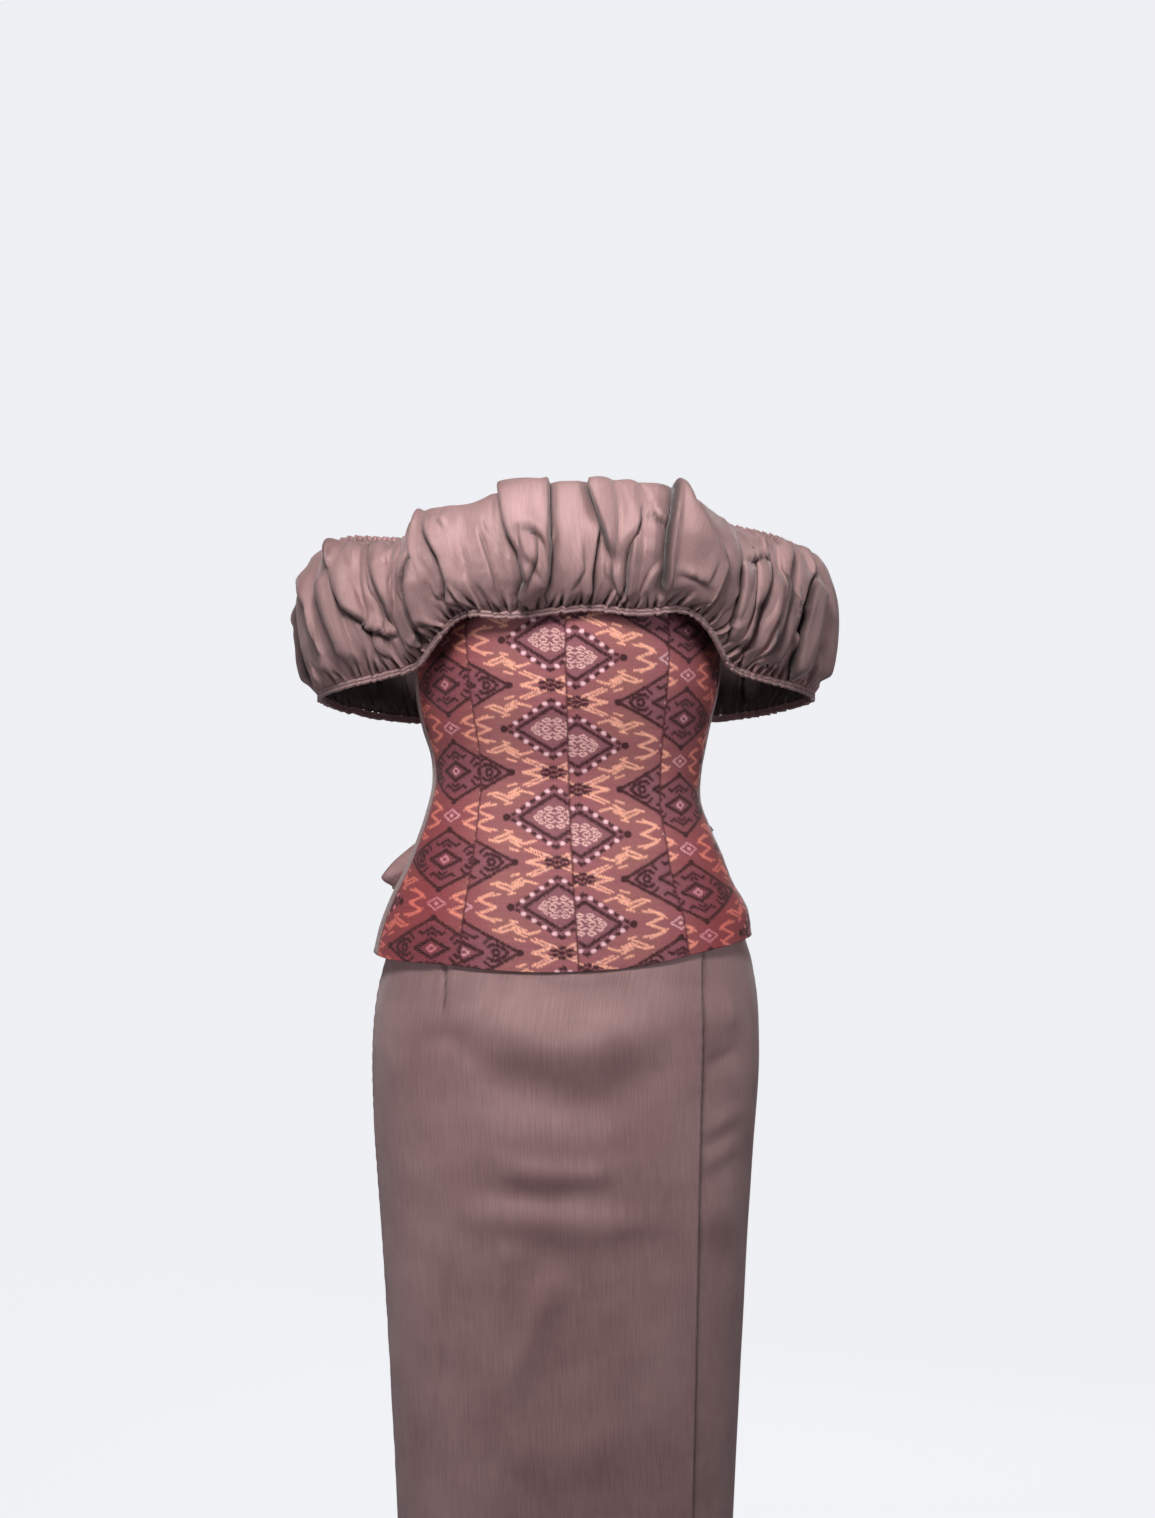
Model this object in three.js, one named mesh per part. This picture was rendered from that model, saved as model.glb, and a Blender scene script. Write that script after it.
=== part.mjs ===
// An off-the-shoulder blouse and a wrapped skirt, worn and hollow, with nobody in them.
// Millimetres, +Z up. The front faces -Y and the wearer's left is +X. The origin is the middle
// of the waist. Every piece is a closed wall of cloth, and sewn edges lie a seam's gap apart.

import * as THREE from 'three';

const CLOTH = 1.5;                 // thickness of a cloth wall
const SEAM = 0.3;                  // gap between two pieces that are sewn together
const FULLNESS = 2 / 2.15;         // power that squares a body section a little
const REACH = 0.25;                // share of a column or row over which a slope is taken

const SATIN = { color: 0xa48689, roughness: 0.45, metalness: 0 };
const PATTERNED = { color: 0x9a6668, roughness: 0.7, metalness: 0 };

// ---------------------------------------------------------------- tables, surfaces and walls

// Slope of a table's column at one of its rows, from the rows on both sides of it.
function slopeAt(rows, index, by, key) {
  const before = rows[Math.max(index - 1, 0)];
  const after = rows[Math.min(index + 1, rows.length - 1)];
  return (after[key] - before[key]) / (after[by] - before[by]);
}

// Smooth value of a table's column between its rows. The rows rise in the column "by".
function valueAt(rows, by, key, where) {
  const last = rows.length - 1;
  const place = THREE.MathUtils.clamp(where, rows[0][by], rows[last][by]);
  let index = 0;
  while (index < last - 1 && place > rows[index + 1][by]) index += 1;
  const from = rows[index];
  const to = rows[index + 1];
  const span = to[by] - from[by];
  const t = (place - from[by]) / span;
  const rise = t * t * (3 - 2 * t);
  const leave = t * (1 - t) * (1 - t) * span * slopeAt(rows, index, by, key);
  const arrive = t * t * (1 - t) * span * slopeAt(rows, index + 1, by, key);
  return from[key] * (1 - rise) + to[key] * rise + leave - arrive;
}

// A point of a body section. Angle 0 is the centre front, and it grows to the wearer's left.
function sectionPoint(table, degrees, z, inset) {
  const angle = THREE.MathUtils.degToRad(degrees);
  const across = Math.sin(angle);
  const ahead = Math.cos(angle);
  const half = valueAt(table, 'z', across < 0 ? 'right' : 'left', z) - inset;
  const depth = valueAt(table, 'z', ahead > 0 ? 'front' : 'back', z) - inset;
  return new THREE.Vector3(
    Math.sign(across) * half * Math.abs(across) ** FULLNESS,
    -Math.sign(ahead) * depth * Math.abs(ahead) ** FULLNESS,
    z,
  );
}

// Columns go round to the wearer's left and rows go down, so this normal points out.
function normalAt(pointAt, column, row, rows) {
  const down = pointAt(column, Math.min(row + REACH, rows));
  down.sub(pointAt(column, Math.max(row - REACH, 0)));
  const round = pointAt(column + REACH, row).sub(pointAt(column - REACH, row));
  return down.cross(round).normalize();
}

// One column of a wall: its outer points from the top down, then its inner ones going up.
// "proud" is how much of the cloth lies outside the surface, and "shift" trims a sewn edge.
function wallColumn(pointAt, column, rows, proud, shift) {
  const outer = [];
  const inner = [];
  for (let row = 0; row <= rows; row += 1) {
    const point = pointAt(column, row);
    const normal = normalAt(pointAt, column, row, rows);
    const along = pointAt(column + REACH, row).sub(pointAt(column - REACH, row));
    point.addScaledVector(along.normalize(), shift);
    outer.push(point.clone().addScaledVector(normal, proud));
    inner.unshift(point.clone().addScaledVector(normal, proud - CLOTH));
  }
  return outer.concat(inner);
}

// A closed body lofted through columns of equal length, with both ends capped unless it is a ring.
// The inner wall's faces are split along the same diagonals as the outer wall's.
function loft(columns, ring) {
  const count = columns[0].length;
  const faces = [];
  const bays = ring ? columns.length : columns.length - 1;
  for (let column = 0; column < bays; column += 1) {
    const here = column * count;
    const next = ((column + 1) % columns.length) * count;
    for (let point = 0; point < count; point += 1) {
      const below = (point + 1) % count;
      const corners = [here + point, here + below, next + below, next + point];
      if (point >= count / 2) corners.push(corners.shift());
      faces.push(corners[0], corners[1], corners[2], corners[0], corners[2], corners[3]);
    }
  }
  if (!ring) {
    const end = (columns.length - 1) * count;
    for (let point = 0; point < count / 2 - 1; point += 1) {
      const facing = count - 1 - point;
      faces.push(point, facing - 1, point + 1, point, facing, facing - 1);
      faces.push(end + point, end + point + 1, end + facing - 1);
      faces.push(end + point, end + facing - 1, end + facing);
    }
  }
  const geometry = new THREE.BufferGeometry();
  const numbers = columns.flat().flatMap((point) => point.toArray());
  geometry.setAttribute('position', new THREE.Float32BufferAttribute(numbers, 3));
  geometry.setIndex(faces);
  geometry.computeVertexNormals();
  return geometry;
}

// A panel of cloth between two columns of a surface. A sewn edge gives up half of the seam's gap.
function panel(pointAt, { first, last, rows, proud = 0, sewnFirst = true, sewnLast = true }) {
  const columns = [];
  for (let column = first; column <= last; column += 1) {
    let shift = 0;
    if (column === first && sewnFirst) shift = SEAM / 2;
    if (column === last && sewnLast) shift = -SEAM / 2;
    columns.push(wallColumn(pointAt, column, rows, proud, shift));
  }
  return loft(columns, false);
}

const set = new THREE.Group();

function addPiece(name, geometry, finish) {
  const mesh = new THREE.Mesh(geometry, new THREE.MeshStandardMaterial(finish));
  mesh.name = name;
  set.add(mesh);
}

// ---------------------------------------------------------------- blouse body

// Outer surface of the blouse: half-widths to the wearer's right and left, depths ahead and behind.
const BLOUSE = [
  { z: -165, right: 174, left: 174, front: 112.2, back: 123 },
  { z: -137, right: 171, left: 168.5, front: 109.5, back: 120 },
  { z: -117, right: 164, left: 167, front: 107, back: 116 },
  { z: -99, right: 157, left: 157.5, front: 104, back: 111 },
  { z: -82, right: 148, left: 148.5, front: 101, back: 105 },
  { z: -58, right: 138, left: 139.5, front: 97, back: 96 },
  { z: -36, right: 129.6, left: 129.5, front: 93, back: 88 },
  { z: -10, right: 122.5, left: 121, front: 90.5, back: 82 },
  { z: 16, right: 119.5, left: 123, front: 94, back: 82 },
  { z: 60, right: 131.5, left: 131.5, front: 108, back: 88 },
  { z: 95, right: 136, left: 139, front: 117.5, back: 92 },
  { z: 150, right: 139, left: 139, front: 124, back: 96 },
  { z: 200, right: 138, left: 138, front: 112, back: 98 },
  { z: 240, right: 132, left: 132, front: 99, back: 92 },
];

// Height of the top edge, by the angle from the centre front on either side.
const BLOUSE_TOP = [
  { angle: 0, z: 238 },
  { angle: 24, z: 237 },
  { angle: 36, z: 232 },
  { angle: 55, z: 205 },
  { angle: 75, z: 165 },
  { angle: 90, z: 150 },
  { angle: 110, z: 155 },
  { angle: 140, z: 177 },
  { angle: 160, z: 188 },
  { angle: 180, z: 190 },
];

// Angles of the princess and side seams from the centre-front seam, by height.
const SEAM_ANGLES = [
  { z: -150, princessRight: 34, princessLeft: 33.8, side: 80 },
  { z: -110, princessRight: 35, princessLeft: 33.4, side: 79 },
  { z: -70, princessRight: 36.2, princessLeft: 35, side: 78.5 },
  { z: 0, princessRight: 38.8, princessLeft: 39.3, side: 77 },
  { z: 60, princessRight: 37.4, princessLeft: 37.6, side: 77 },
  { z: 125, princessRight: 38, princessLeft: 37.2, side: 77 },
  { z: 240, princessRight: 37, princessLeft: 36, side: 77 },
];

// Height of the hem by the angle from the centre front, rising towards the wearer's left.
const BLOUSE_HEM = [
  { angle: -180, z: -142 },
  { angle: -120, z: -145 },
  { angle: -80, z: -150 },
  { angle: -60, z: -152.5 },
  { angle: -40, z: -153.3 },
  { angle: -20, z: -157.8 },
  { angle: 0, z: -158.5 },
  { angle: 20, z: -153.3 },
  { angle: 40, z: -144 },
  { angle: 80, z: -134.5 },
  { angle: 120, z: -138 },
  { angle: 180, z: -142 },
];

const FRONT_COLUMNS = 5;           // across a front or side-front panel
const BACK_COLUMNS = 9;            // across a back panel
const PRINCESS = FRONT_COLUMNS;    // columns of the princess seam, the side seam and the centre back
const UNDERARM = 2 * FRONT_COLUMNS;
const CENTRE_BACK = UNDERARM + BACK_COLUMNS;
const BLOUSE_ROWS = 12;
const TWIST = { turn: -4.5, from: -150, to: 120 };
const ANGLE_PASSES = 4;            // rounds that settle a point's height and angle together

// The panels lean a little to the wearer's right as they rise.
function twistAt(z) {
  return TWIST.turn * THREE.MathUtils.clamp((z - TWIST.from) / (TWIST.to - TWIST.from), 0, 1);
}

// Angle of a column at a height. Seams lie on whole columns, counted from the centre front.
function blouseAngle(column, z) {
  const side = Math.sign(column);
  const steps = Math.abs(column);
  const princess = valueAt(SEAM_ANGLES, 'z', side < 0 ? 'princessRight' : 'princessLeft', z);
  const underarm = valueAt(SEAM_ANGLES, 'z', 'side', z);
  const twist = twistAt(z);
  if (steps <= PRINCESS) return side * princess * (steps / PRINCESS) + twist;
  if (steps <= UNDERARM) {
    const share = (steps - PRINCESS) / FRONT_COLUMNS;
    return side * (princess + (underarm - princess) * share) + twist;
  }
  const share = (steps - UNDERARM) / BACK_COLUMNS;
  return side * (underarm + (180 - underarm) * share) + twist * (1 - share);
}

function blousePoint(column, row) {
  let z = 0;
  let degrees = 0;
  for (let pass = 0; pass < ANGLE_PASSES; pass += 1) {
    degrees = blouseAngle(column, z);
    const top = valueAt(BLOUSE_TOP, 'angle', 'z', Math.abs(degrees));
    z = top + (valueAt(BLOUSE_HEM, 'angle', 'z', degrees) - top) * (row / BLOUSE_ROWS);
  }
  return sectionPoint(BLOUSE, degrees, z, 0);
}

const BLOUSE_PANELS = [
  { name: 'bodice_back_right', first: -CENTRE_BACK, last: -UNDERARM, finish: SATIN },
  { name: 'bodice_side_front_right', first: -UNDERARM, last: -PRINCESS, finish: PATTERNED },
  { name: 'bodice_front_right', first: -PRINCESS, last: 0, finish: PATTERNED },
  { name: 'bodice_front_left', first: 0, last: PRINCESS, finish: PATTERNED },
  { name: 'bodice_side_front_left', first: PRINCESS, last: UNDERARM, finish: PATTERNED },
  { name: 'bodice_back_left', first: UNDERARM, last: CENTRE_BACK, finish: SATIN },
];

for (const { name, first, last, finish } of BLOUSE_PANELS) {
  addPiece(name, panel(blousePoint, { first, last, rows: BLOUSE_ROWS }), finish);
}

// ---------------------------------------------------------------- shoulder ruffle

// Half of the ruffle's ring, from the centre front (step 0) to the centre back: its top edge, its
// lower edge, how high the cloth blouses over the top edge, and how far it puffs out between them.
const HALF_RING = [
  { step: 0, topX: 0, topY: -101.2, topZ: 239.8, footX: 0, footY: -131, footZ: 152, crest: 32, puff: 34 },
  { step: 1, topX: 57, topY: -94.6, topZ: 238.8, footX: 60, footY: -127, footZ: 152, crest: 32, puff: 32 },
  { step: 2, topX: 105, topY: -82, topZ: 231, footX: 100, footY: -114, footZ: 150, crest: 20, puff: 30 },
  { step: 2.5, topX: 122, topY: -70, topZ: 228, footX: 120, footY: -99, footZ: 130, crest: 15, puff: 28 },
  { step: 3, topX: 138, topY: -57, topZ: 226, footX: 134, footY: -80, footZ: 109, crest: 12, puff: 27 },
  { step: 4, topX: 168, topY: -40, topZ: 222, footX: 163, footY: -62, footZ: 99, crest: 10, puff: 25 },
  { step: 5, topX: 195, topY: -22, topZ: 217, footX: 199, footY: -42, footZ: 91, crest: 11, puff: 23 },
  { step: 6, topX: 208, topY: 6, topZ: 211, footX: 226, footY: 2, footZ: 83, crest: 12, puff: 18 },
  { step: 7, topX: 196, topY: 34, topZ: 206, footX: 206, footY: 44, footZ: 74, crest: 12, puff: 20 },
  { step: 8, topX: 163, topY: 60, topZ: 200, footX: 165, footY: 74, footZ: 66, crest: 10, puff: 20 },
  { step: 9, topX: 112, topY: 84, topZ: 195, footX: 113, footY: 99, footZ: 62, crest: 9, puff: 18 },
  { step: 10, topX: 57, topY: 95, topZ: 192.5, footX: 58, footY: 110, footZ: 62, crest: 9, puff: 17 },
  { step: 11, topX: 0, topY: 98.6, topZ: 191.8, footX: 0, footY: 114, footZ: 62, crest: 9, puff: 16 },
];

// How the wearer's right side differs: its top edge lies lower on the arm.
const RIGHT_SIDE = [
  { step: 0, topZ: 0, crest: 0, puff: 0, footX: 0 },
  { step: 1, topZ: 0, crest: -2, puff: 0, footX: 0 },
  { step: 2, topZ: -3, crest: 0, puff: 0, footX: 0 },
  { step: 2.6, topZ: -8, crest: 6, puff: 0, footX: 0 },
  { step: 3.2, topZ: -13, crest: 2, puff: 0, footX: 1 },
  { step: 4, topZ: -9, crest: 0, puff: 0, footX: 2 },
  { step: 5, topZ: -2, crest: -2, puff: 1, footX: 0 },
  { step: 6, topZ: 0, crest: -1, puff: 4, footX: -6 },
  { step: 7, topZ: 0, crest: -1, puff: 2, footX: -3 },
  { step: 8, topZ: 0, crest: 0, puff: 0, footX: 0 },
  { step: 11, topZ: 0, crest: 0, puff: 0, footX: 0 },
];

// How the lower edge waves up and down across the front.
const FOOT_WAVE = [
  { step: -2, rise: 0 },
  { step: -1, rise: -4 },
  { step: 0.1, rise: 3 },
  { step: 0.8, rise: -1 },
  { step: 1.5, rise: 3 },
  { step: 2.1, rise: 0 },
];
const RING_STEPS = 11;
const RING_REACH = 0.1;            // share of a ring step over which its direction is taken

// The cloth from the top edge (row 0) to the lower edge: the share of the way down, of the puff,
// of the crest, and of the folds' depth.
const RUFFLE_PROFILE = [
  { row: 0, down: 0, puff: 0, crest: 0, fold: 0 },
  { row: 1, down: 0.07, puff: 0.24, crest: 0.62, fold: 0.5 },
  { row: 2, down: 0.19, puff: 0.64, crest: 1, fold: 0.9 },
  { row: 3, down: 0.42, puff: 1, crest: 0.6, fold: 1 },
  { row: 4, down: 0.68, puff: 0.76, crest: 0.14, fold: 1 },
  { row: 5, down: 0.9, puff: 0.3, crest: 0, fold: 0.7 },
  { row: 6, down: 1, puff: 0, crest: 0, fold: 0 },
];
const RUFFLE_ROWS = 6;

// Valleys between the folds, as steps of the ring at the top edge and at the foot, negative on the
// wearer's right. Up to the next valley the cloth stands out by "depth", and up by "lift".
const SHOWN_VALLEYS = [
  { top: -7.1, foot: -6.7, depth: 9, lift: 0 },
  { top: -6.55, foot: -6.05, depth: 8, lift: 2 },
  { top: -6, foot: -5.45, depth: 10, lift: 0 },
  { top: -5.5, foot: -4.9, depth: 9, lift: 2 },
  { top: -4.95, foot: -4.3, depth: 11, lift: 1 },
  { top: -4.4, foot: -3.8, depth: 8, lift: 0 },
  { top: -3.95, foot: -3.4, depth: 9, lift: 0 },
  { top: -3.42, foot: -3.05, depth: 7, lift: 0 },
  { top: -2.95, foot: -2.65, depth: 7, lift: 10 },
  { top: -2.45, foot: -2.1, depth: 9, lift: 5 },
  { top: -1.85, foot: -1.6, depth: 8, lift: -5 },
  { top: -1.2, foot: -0.85, depth: 9, lift: 2 },
  { top: -0.55, foot: -0.55, depth: 8, lift: 1 },
  { top: 0.15, foot: 0.1, depth: 5, lift: 4 },
  { top: 0.45, foot: 0.4, depth: 6, lift: 4 },
  { top: 0.8, foot: 0.7, depth: 8, lift: 1 },
  { top: 1.4, foot: 1.22, depth: 11, lift: 1 },
  { top: 2.3, foot: 1.9, depth: 6, lift: 0 },
  { top: 2.7, foot: 2.35, depth: 8, lift: 0 },
  { top: 3.15, foot: 2.8, depth: 8, lift: 1 },
  { top: 3.7, foot: 3.2, depth: 9, lift: 0 },
  { top: 4.25, foot: 3.6, depth: 10, lift: 0 },
  { top: 4.75, foot: 4.1, depth: 8, lift: 2 },
  { top: 5.2, foot: 4.6, depth: 10, lift: 0 },
  { top: 5.75, foot: 5.15, depth: 11, lift: 1 },
  { top: 6.35, foot: 5.8, depth: 9, lift: 0 },
  { top: 6.95, foot: 6.5, depth: 9, lift: 1 },
];
const BACK_FOLDS = 12;             // folds round the back, between the last valley and the first
const FOLD_COLUMNS = 3;            // columns to each fold, the first of them in its valley
const FOLD_ROUNDNESS = 0.6;        // power that rounds a fold's section
const BACK_SPACING = { swing: 0.012, turn: 2.4 };
const BACK_DEPTH = { mean: 8, swing: 2, turn: 1.9 };
const BACK_LIFT = { swing: 2, turn: 3.1 };

// The back's valleys, unevenly spaced by a slow wave, with their lean easing out of the arms'.
function backValleys() {
  const first = SHOWN_VALLEYS[SHOWN_VALLEYS.length - 1];
  const last = SHOWN_VALLEYS[0];
  const valleys = [];
  for (let index = 1; index < BACK_FOLDS; index += 1) {
    const share = index / BACK_FOLDS + BACK_SPACING.swing * Math.sin(index * BACK_SPACING.turn);
    const top = first.top + (last.top + 2 * RING_STEPS - first.top) * share;
    const lean = first.foot - first.top + (last.foot - last.top - first.foot + first.top) * share;
    const depth = BACK_DEPTH.mean + BACK_DEPTH.swing * Math.sin(index * BACK_DEPTH.turn);
    const lift = BACK_LIFT.swing * Math.sin(index * BACK_LIFT.turn);
    valleys.push({ top, foot: top + lean, depth, lift });
  }
  return valleys;
}

const VALLEYS = SHOWN_VALLEYS.concat(backValleys());
const RUFFLE_COLUMNS = VALLEYS.length * FOLD_COLUMNS;

// The half ring with a mirrored row beyond each end, so that it runs smoothly through both.
function mirrored(row, step) {
  return { ...row, step, topX: -row.topX, footX: -row.footX };
}

const RING = [
  mirrored(HALF_RING[1], -1),
  ...HALF_RING,
  mirrored(HALF_RING[RING_STEPS - 1], RING_STEPS + 1),
];

// A measure of the ring at any step round it. Steps past the centre back come round again.
function ringValue(key, step) {
  const wrapped = THREE.MathUtils.euclideanModulo(step + RING_STEPS, 2 * RING_STEPS) - RING_STEPS;
  let value = valueAt(RING, 'step', key, Math.abs(wrapped));
  if (wrapped < 0 && key in RIGHT_SIDE[0]) value += valueAt(RIGHT_SIDE, 'step', key, -wrapped);
  if (key === 'footZ') value += valueAt(FOOT_WAVE, 'step', 'rise', wrapped);
  return wrapped < 0 && key.endsWith('X') ? -value : value;
}

function ringPoint(edge, step) {
  const across = ringValue(`${edge}X`, step);
  return new THREE.Vector3(across, ringValue(`${edge}Y`, step), ringValue(`${edge}Z`, step));
}

// Level direction that points away from the wearer.
function ringOutward(edge, step) {
  const along = ringPoint(edge, step + RING_REACH).sub(ringPoint(edge, step - RING_REACH));
  return new THREE.Vector3(along.y, -along.x, 0).normalize();
}

// The ring's steps at a column, at the top edge and at the foot, and the fold's depth there.
function foldAt(column) {
  const count = VALLEYS.length;
  const place = column / FOLD_COLUMNS;
  const index = Math.floor(place);
  const share = place - index;
  const here = VALLEYS[THREE.MathUtils.euclideanModulo(index, count)];
  const next = VALLEYS[THREE.MathUtils.euclideanModulo(index + 1, count)];
  const lap = Math.floor(index / count) * 2 * RING_STEPS;
  const nextLap = Math.floor((index + 1) / count) * 2 * RING_STEPS;
  const height = Math.sin(Math.PI * share) ** FOLD_ROUNDNESS;
  return {
    top: THREE.MathUtils.lerp(here.top + lap, next.top + nextLap, share),
    foot: THREE.MathUtils.lerp(here.foot + lap, next.foot + nextLap, share),
    depth: here.depth * height,
    lift: here.lift * height,
  };
}

function rufflePoint(column, row) {
  const fold = foldAt(column);
  const down = valueAt(RUFFLE_PROFILE, 'row', 'down', row);
  const step = fold.top + (fold.foot - fold.top) * down;
  const puff = ringValue('puff', step) * valueAt(RUFFLE_PROFILE, 'row', 'puff', row);
  const rise = valueAt(RUFFLE_PROFILE, 'row', 'crest', row);
  const depth = fold.depth * valueAt(RUFFLE_PROFILE, 'row', 'fold', row);
  const point = ringPoint('top', step).lerp(ringPoint('foot', step), down);
  const outward = ringOutward('top', step).lerp(ringOutward('foot', step), down).normalize();
  point.addScaledVector(outward, puff + depth);
  point.z += (ringValue('crest', step) + fold.lift) * rise;
  return point;
}

// The four gathered lengths meet in valleys: beside the arms in front, and behind the arms.
const RUFFLE_PIECES = [
  { name: 'ruffle_right', first: -1, last: 8 },
  { name: 'ruffle_front', first: 8, last: 18 },
  { name: 'ruffle_left', first: 18, last: 28 },
  { name: 'ruffle_back', first: 28, last: VALLEYS.length - 1 },
];

for (const { name, first, last } of RUFFLE_PIECES) {
  const cut = { first: first * FOLD_COLUMNS, last: last * FOLD_COLUMNS, rows: RUFFLE_ROWS };
  addPiece(name, panel(rufflePoint, { ...cut, proud: CLOTH / 2 }), SATIN);
}

const BAND_STRIDE = 1.5;           // ruffle columns to each column of a band on its edge

// A band that follows an edge of the ring. "near" and "far" are its distances out from the edge,
// "low" and "high" its heights over it.
function edgeBand(edge, { near, far, low, high }) {
  const columns = [];
  for (let column = 0; column < RUFFLE_COLUMNS; column += BAND_STRIDE) {
    const step = foldAt(column)[edge];
    const point = ringPoint(edge, step);
    const outward = ringOutward(edge, step);
    const corners = [[far, high], [far, low], [near, low], [near, high]];
    columns.push(corners.map(([out, up]) => {
      const corner = point.clone().addScaledVector(outward, out);
      corner.z += up;
      return corner;
    }));
  }
  return loft(columns, true);
}

const CASING = { near: -3.05, far: -1.05, low: -1, high: 4.5 };
const BINDING = { near: -1.5, far: 1.5, low: -6, high: -1.3 };
addPiece('ruffle_top_casing', edgeBand('top', CASING), SATIN);
addPiece('ruffle_hem_binding', edgeBand('foot', BINDING), SATIN);

// ---------------------------------------------------------------- bow at the back waist

// Each loop from the knot to its tip: its middle line, half of its width, half of the space
// between its two layers, and how far it hangs over. "out" is the distance from the centre back.
const RIGHT_LOOP = [
  { station: 0, out: 0.5, y: 92, z: -3, half: 7.2, open: 6.3, lean: 0 },
  { station: 1, out: 11, y: 92, z: -3.4, half: 8.2, open: 6, lean: 3 },
  { station: 2, out: 24, y: 94, z: -11, half: 14, open: 5.8, lean: 20 },
  { station: 3, out: 48, y: 98, z: -27, half: 19, open: 6.5, lean: 30 },
  { station: 4, out: 82, y: 100, z: -49, half: 22, open: 7.5, lean: 32 },
  { station: 5, out: 118, y: 92, z: -72, half: 22, open: 7.5, lean: 32 },
  { station: 6, out: 139, y: 82, z: -86, half: 20, open: 6.5, lean: 32 },
  { station: 7, out: 150, y: 75, z: -93, half: 16, open: 4.6, lean: 32 },
  { station: 8, out: 154.5, y: 73, z: -96, half: 14, open: 0, lean: 32 },
];
const LEFT_LOOP = [
  { station: 0, out: 0.5, y: 92, z: -3, half: 7.2, open: 6.3, lean: 0 },
  { station: 1, out: 11, y: 92, z: -3.2, half: 8.2, open: 6, lean: 2 },
  { station: 2, out: 24, y: 94, z: -8, half: 14, open: 5.8, lean: 12 },
  { station: 3, out: 46, y: 96, z: -18, half: 19, open: 6.5, lean: 21 },
  { station: 4, out: 76, y: 93, z: -31, half: 22, open: 7.5, lean: 23 },
  { station: 5, out: 107, y: 85, z: -43, half: 22, open: 7.5, lean: 23 },
  { station: 6, out: 126, y: 77, z: -50, half: 19, open: 6.5, lean: 22 },
  { station: 7, out: 137, y: 72, z: -54, half: 16, open: 4.6, lean: 22 },
  { station: 8, out: 141, y: 70, z: -55, half: 13, open: 0, lean: 22 },
];
const LOOP_STATIONS = 8;
const LOOP_ROWS = 4;
const LOOP_HOLLOW = 0.35;          // how much closer its layers lie at their edges

// A loop runs out on the layer away from the back, turns at the tip and comes back beneath it.
function loopPoint(table, side, column, row) {
  const travelled = side < 0 ? column : 2 * LOOP_STATIONS - column;
  const station = LOOP_STATIONS - Math.abs(LOOP_STATIONS - travelled);
  const layer = travelled <= LOOP_STATIONS ? 1 : -1;
  const read = (key) => valueAt(table, 'station', key, station);
  const lean = THREE.MathUtils.degToRad(read('lean'));
  const share = 1 - (2 * row) / LOOP_ROWS;
  const across = read('half') * share;
  return new THREE.Vector3(
    side * (read('out') + across * Math.sin(lean)),
    read('y') + layer * read('open') * (1 - LOOP_HOLLOW * share * share),
    read('z') + across * Math.cos(lean),
  );
}

function bowLoop(table, side) {
  const pointAt = (column, row) => loopPoint(table, side, column, row);
  const ends = { first: 0, last: 2 * LOOP_STATIONS, sewnFirst: false, sewnLast: false };
  return panel(pointAt, { ...ends, rows: LOOP_ROWS, proud: CLOTH / 2 });
}

addPiece('bow_loop_right', bowLoop(RIGHT_LOOP, -1), SATIN);
addPiece('bow_loop_left', bowLoop(LEFT_LOOP, 1), SATIN);

const KNOT = { width: 21, halfDepth: 8.6, halfHeight: 14.5, swell: 1.2, y: 92, z: -3 };
const KNOT_COLUMNS = 16;
const KNOT_ROWS = 2;

// The knot is a strip wrapped round the loops' gathered ends, fuller in the middle.
function knotPoint(column, row) {
  const turn = (column / KNOT_COLUMNS) * 2 * Math.PI;
  const along = row / KNOT_ROWS - 0.5;
  const swell = KNOT.swell * (1 - 4 * along * along);
  return new THREE.Vector3(
    KNOT.width * along,
    KNOT.y + (KNOT.halfDepth + swell) * Math.cos(turn),
    KNOT.z - (KNOT.halfHeight + swell) * Math.sin(turn),
  );
}

function ringWall(pointAt, count, rows) {
  const columns = [];
  for (let column = 0; column < count; column += 1) {
    columns.push(wallColumn(pointAt, column, rows, 0, 0));
  }
  return loft(columns, true);
}

addPiece('bow_knot', ringWall(knotPoint, KNOT_COLUMNS, KNOT_ROWS), SATIN);

// ---------------------------------------------------------------- skirt

// Outer surface of the skirt, in the same columns as the blouse's table.
const SKIRT = [
  { z: -945, right: 137, left: 137, front: 93, back: 92 },
  { z: -800, right: 144, left: 144, front: 98, back: 97 },
  { z: -660, right: 151.2, left: 150.7, front: 103, back: 102 },
  { z: -535, right: 157.5, left: 157.3, front: 107, back: 108 },
  { z: -400, right: 165.6, left: 164.2, front: 111, back: 116 },
  { z: -320, right: 171.5, left: 169, front: 113.5, back: 122 },
  { z: -260, right: 174.2, left: 173.6, front: 113.8, back: 126.5 },
  { z: -218, right: 173, left: 174.2, front: 113, back: 128 },
  { z: -181, right: 169, left: 172, front: 111, back: 124 },
  { z: -158, right: 163, left: 168.4, front: 108.8, back: 118.8 },
  { z: -140, right: 158, left: 161.5, front: 106.8, back: 116 },
  { z: -100, right: 148, left: 149, front: 101, back: 107 },
  { z: -60, right: 132, left: 132, front: 93.5, back: 92.5 },
  { z: -22, right: 122, left: 121.5, front: 88.5, back: 80 },
];

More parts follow.
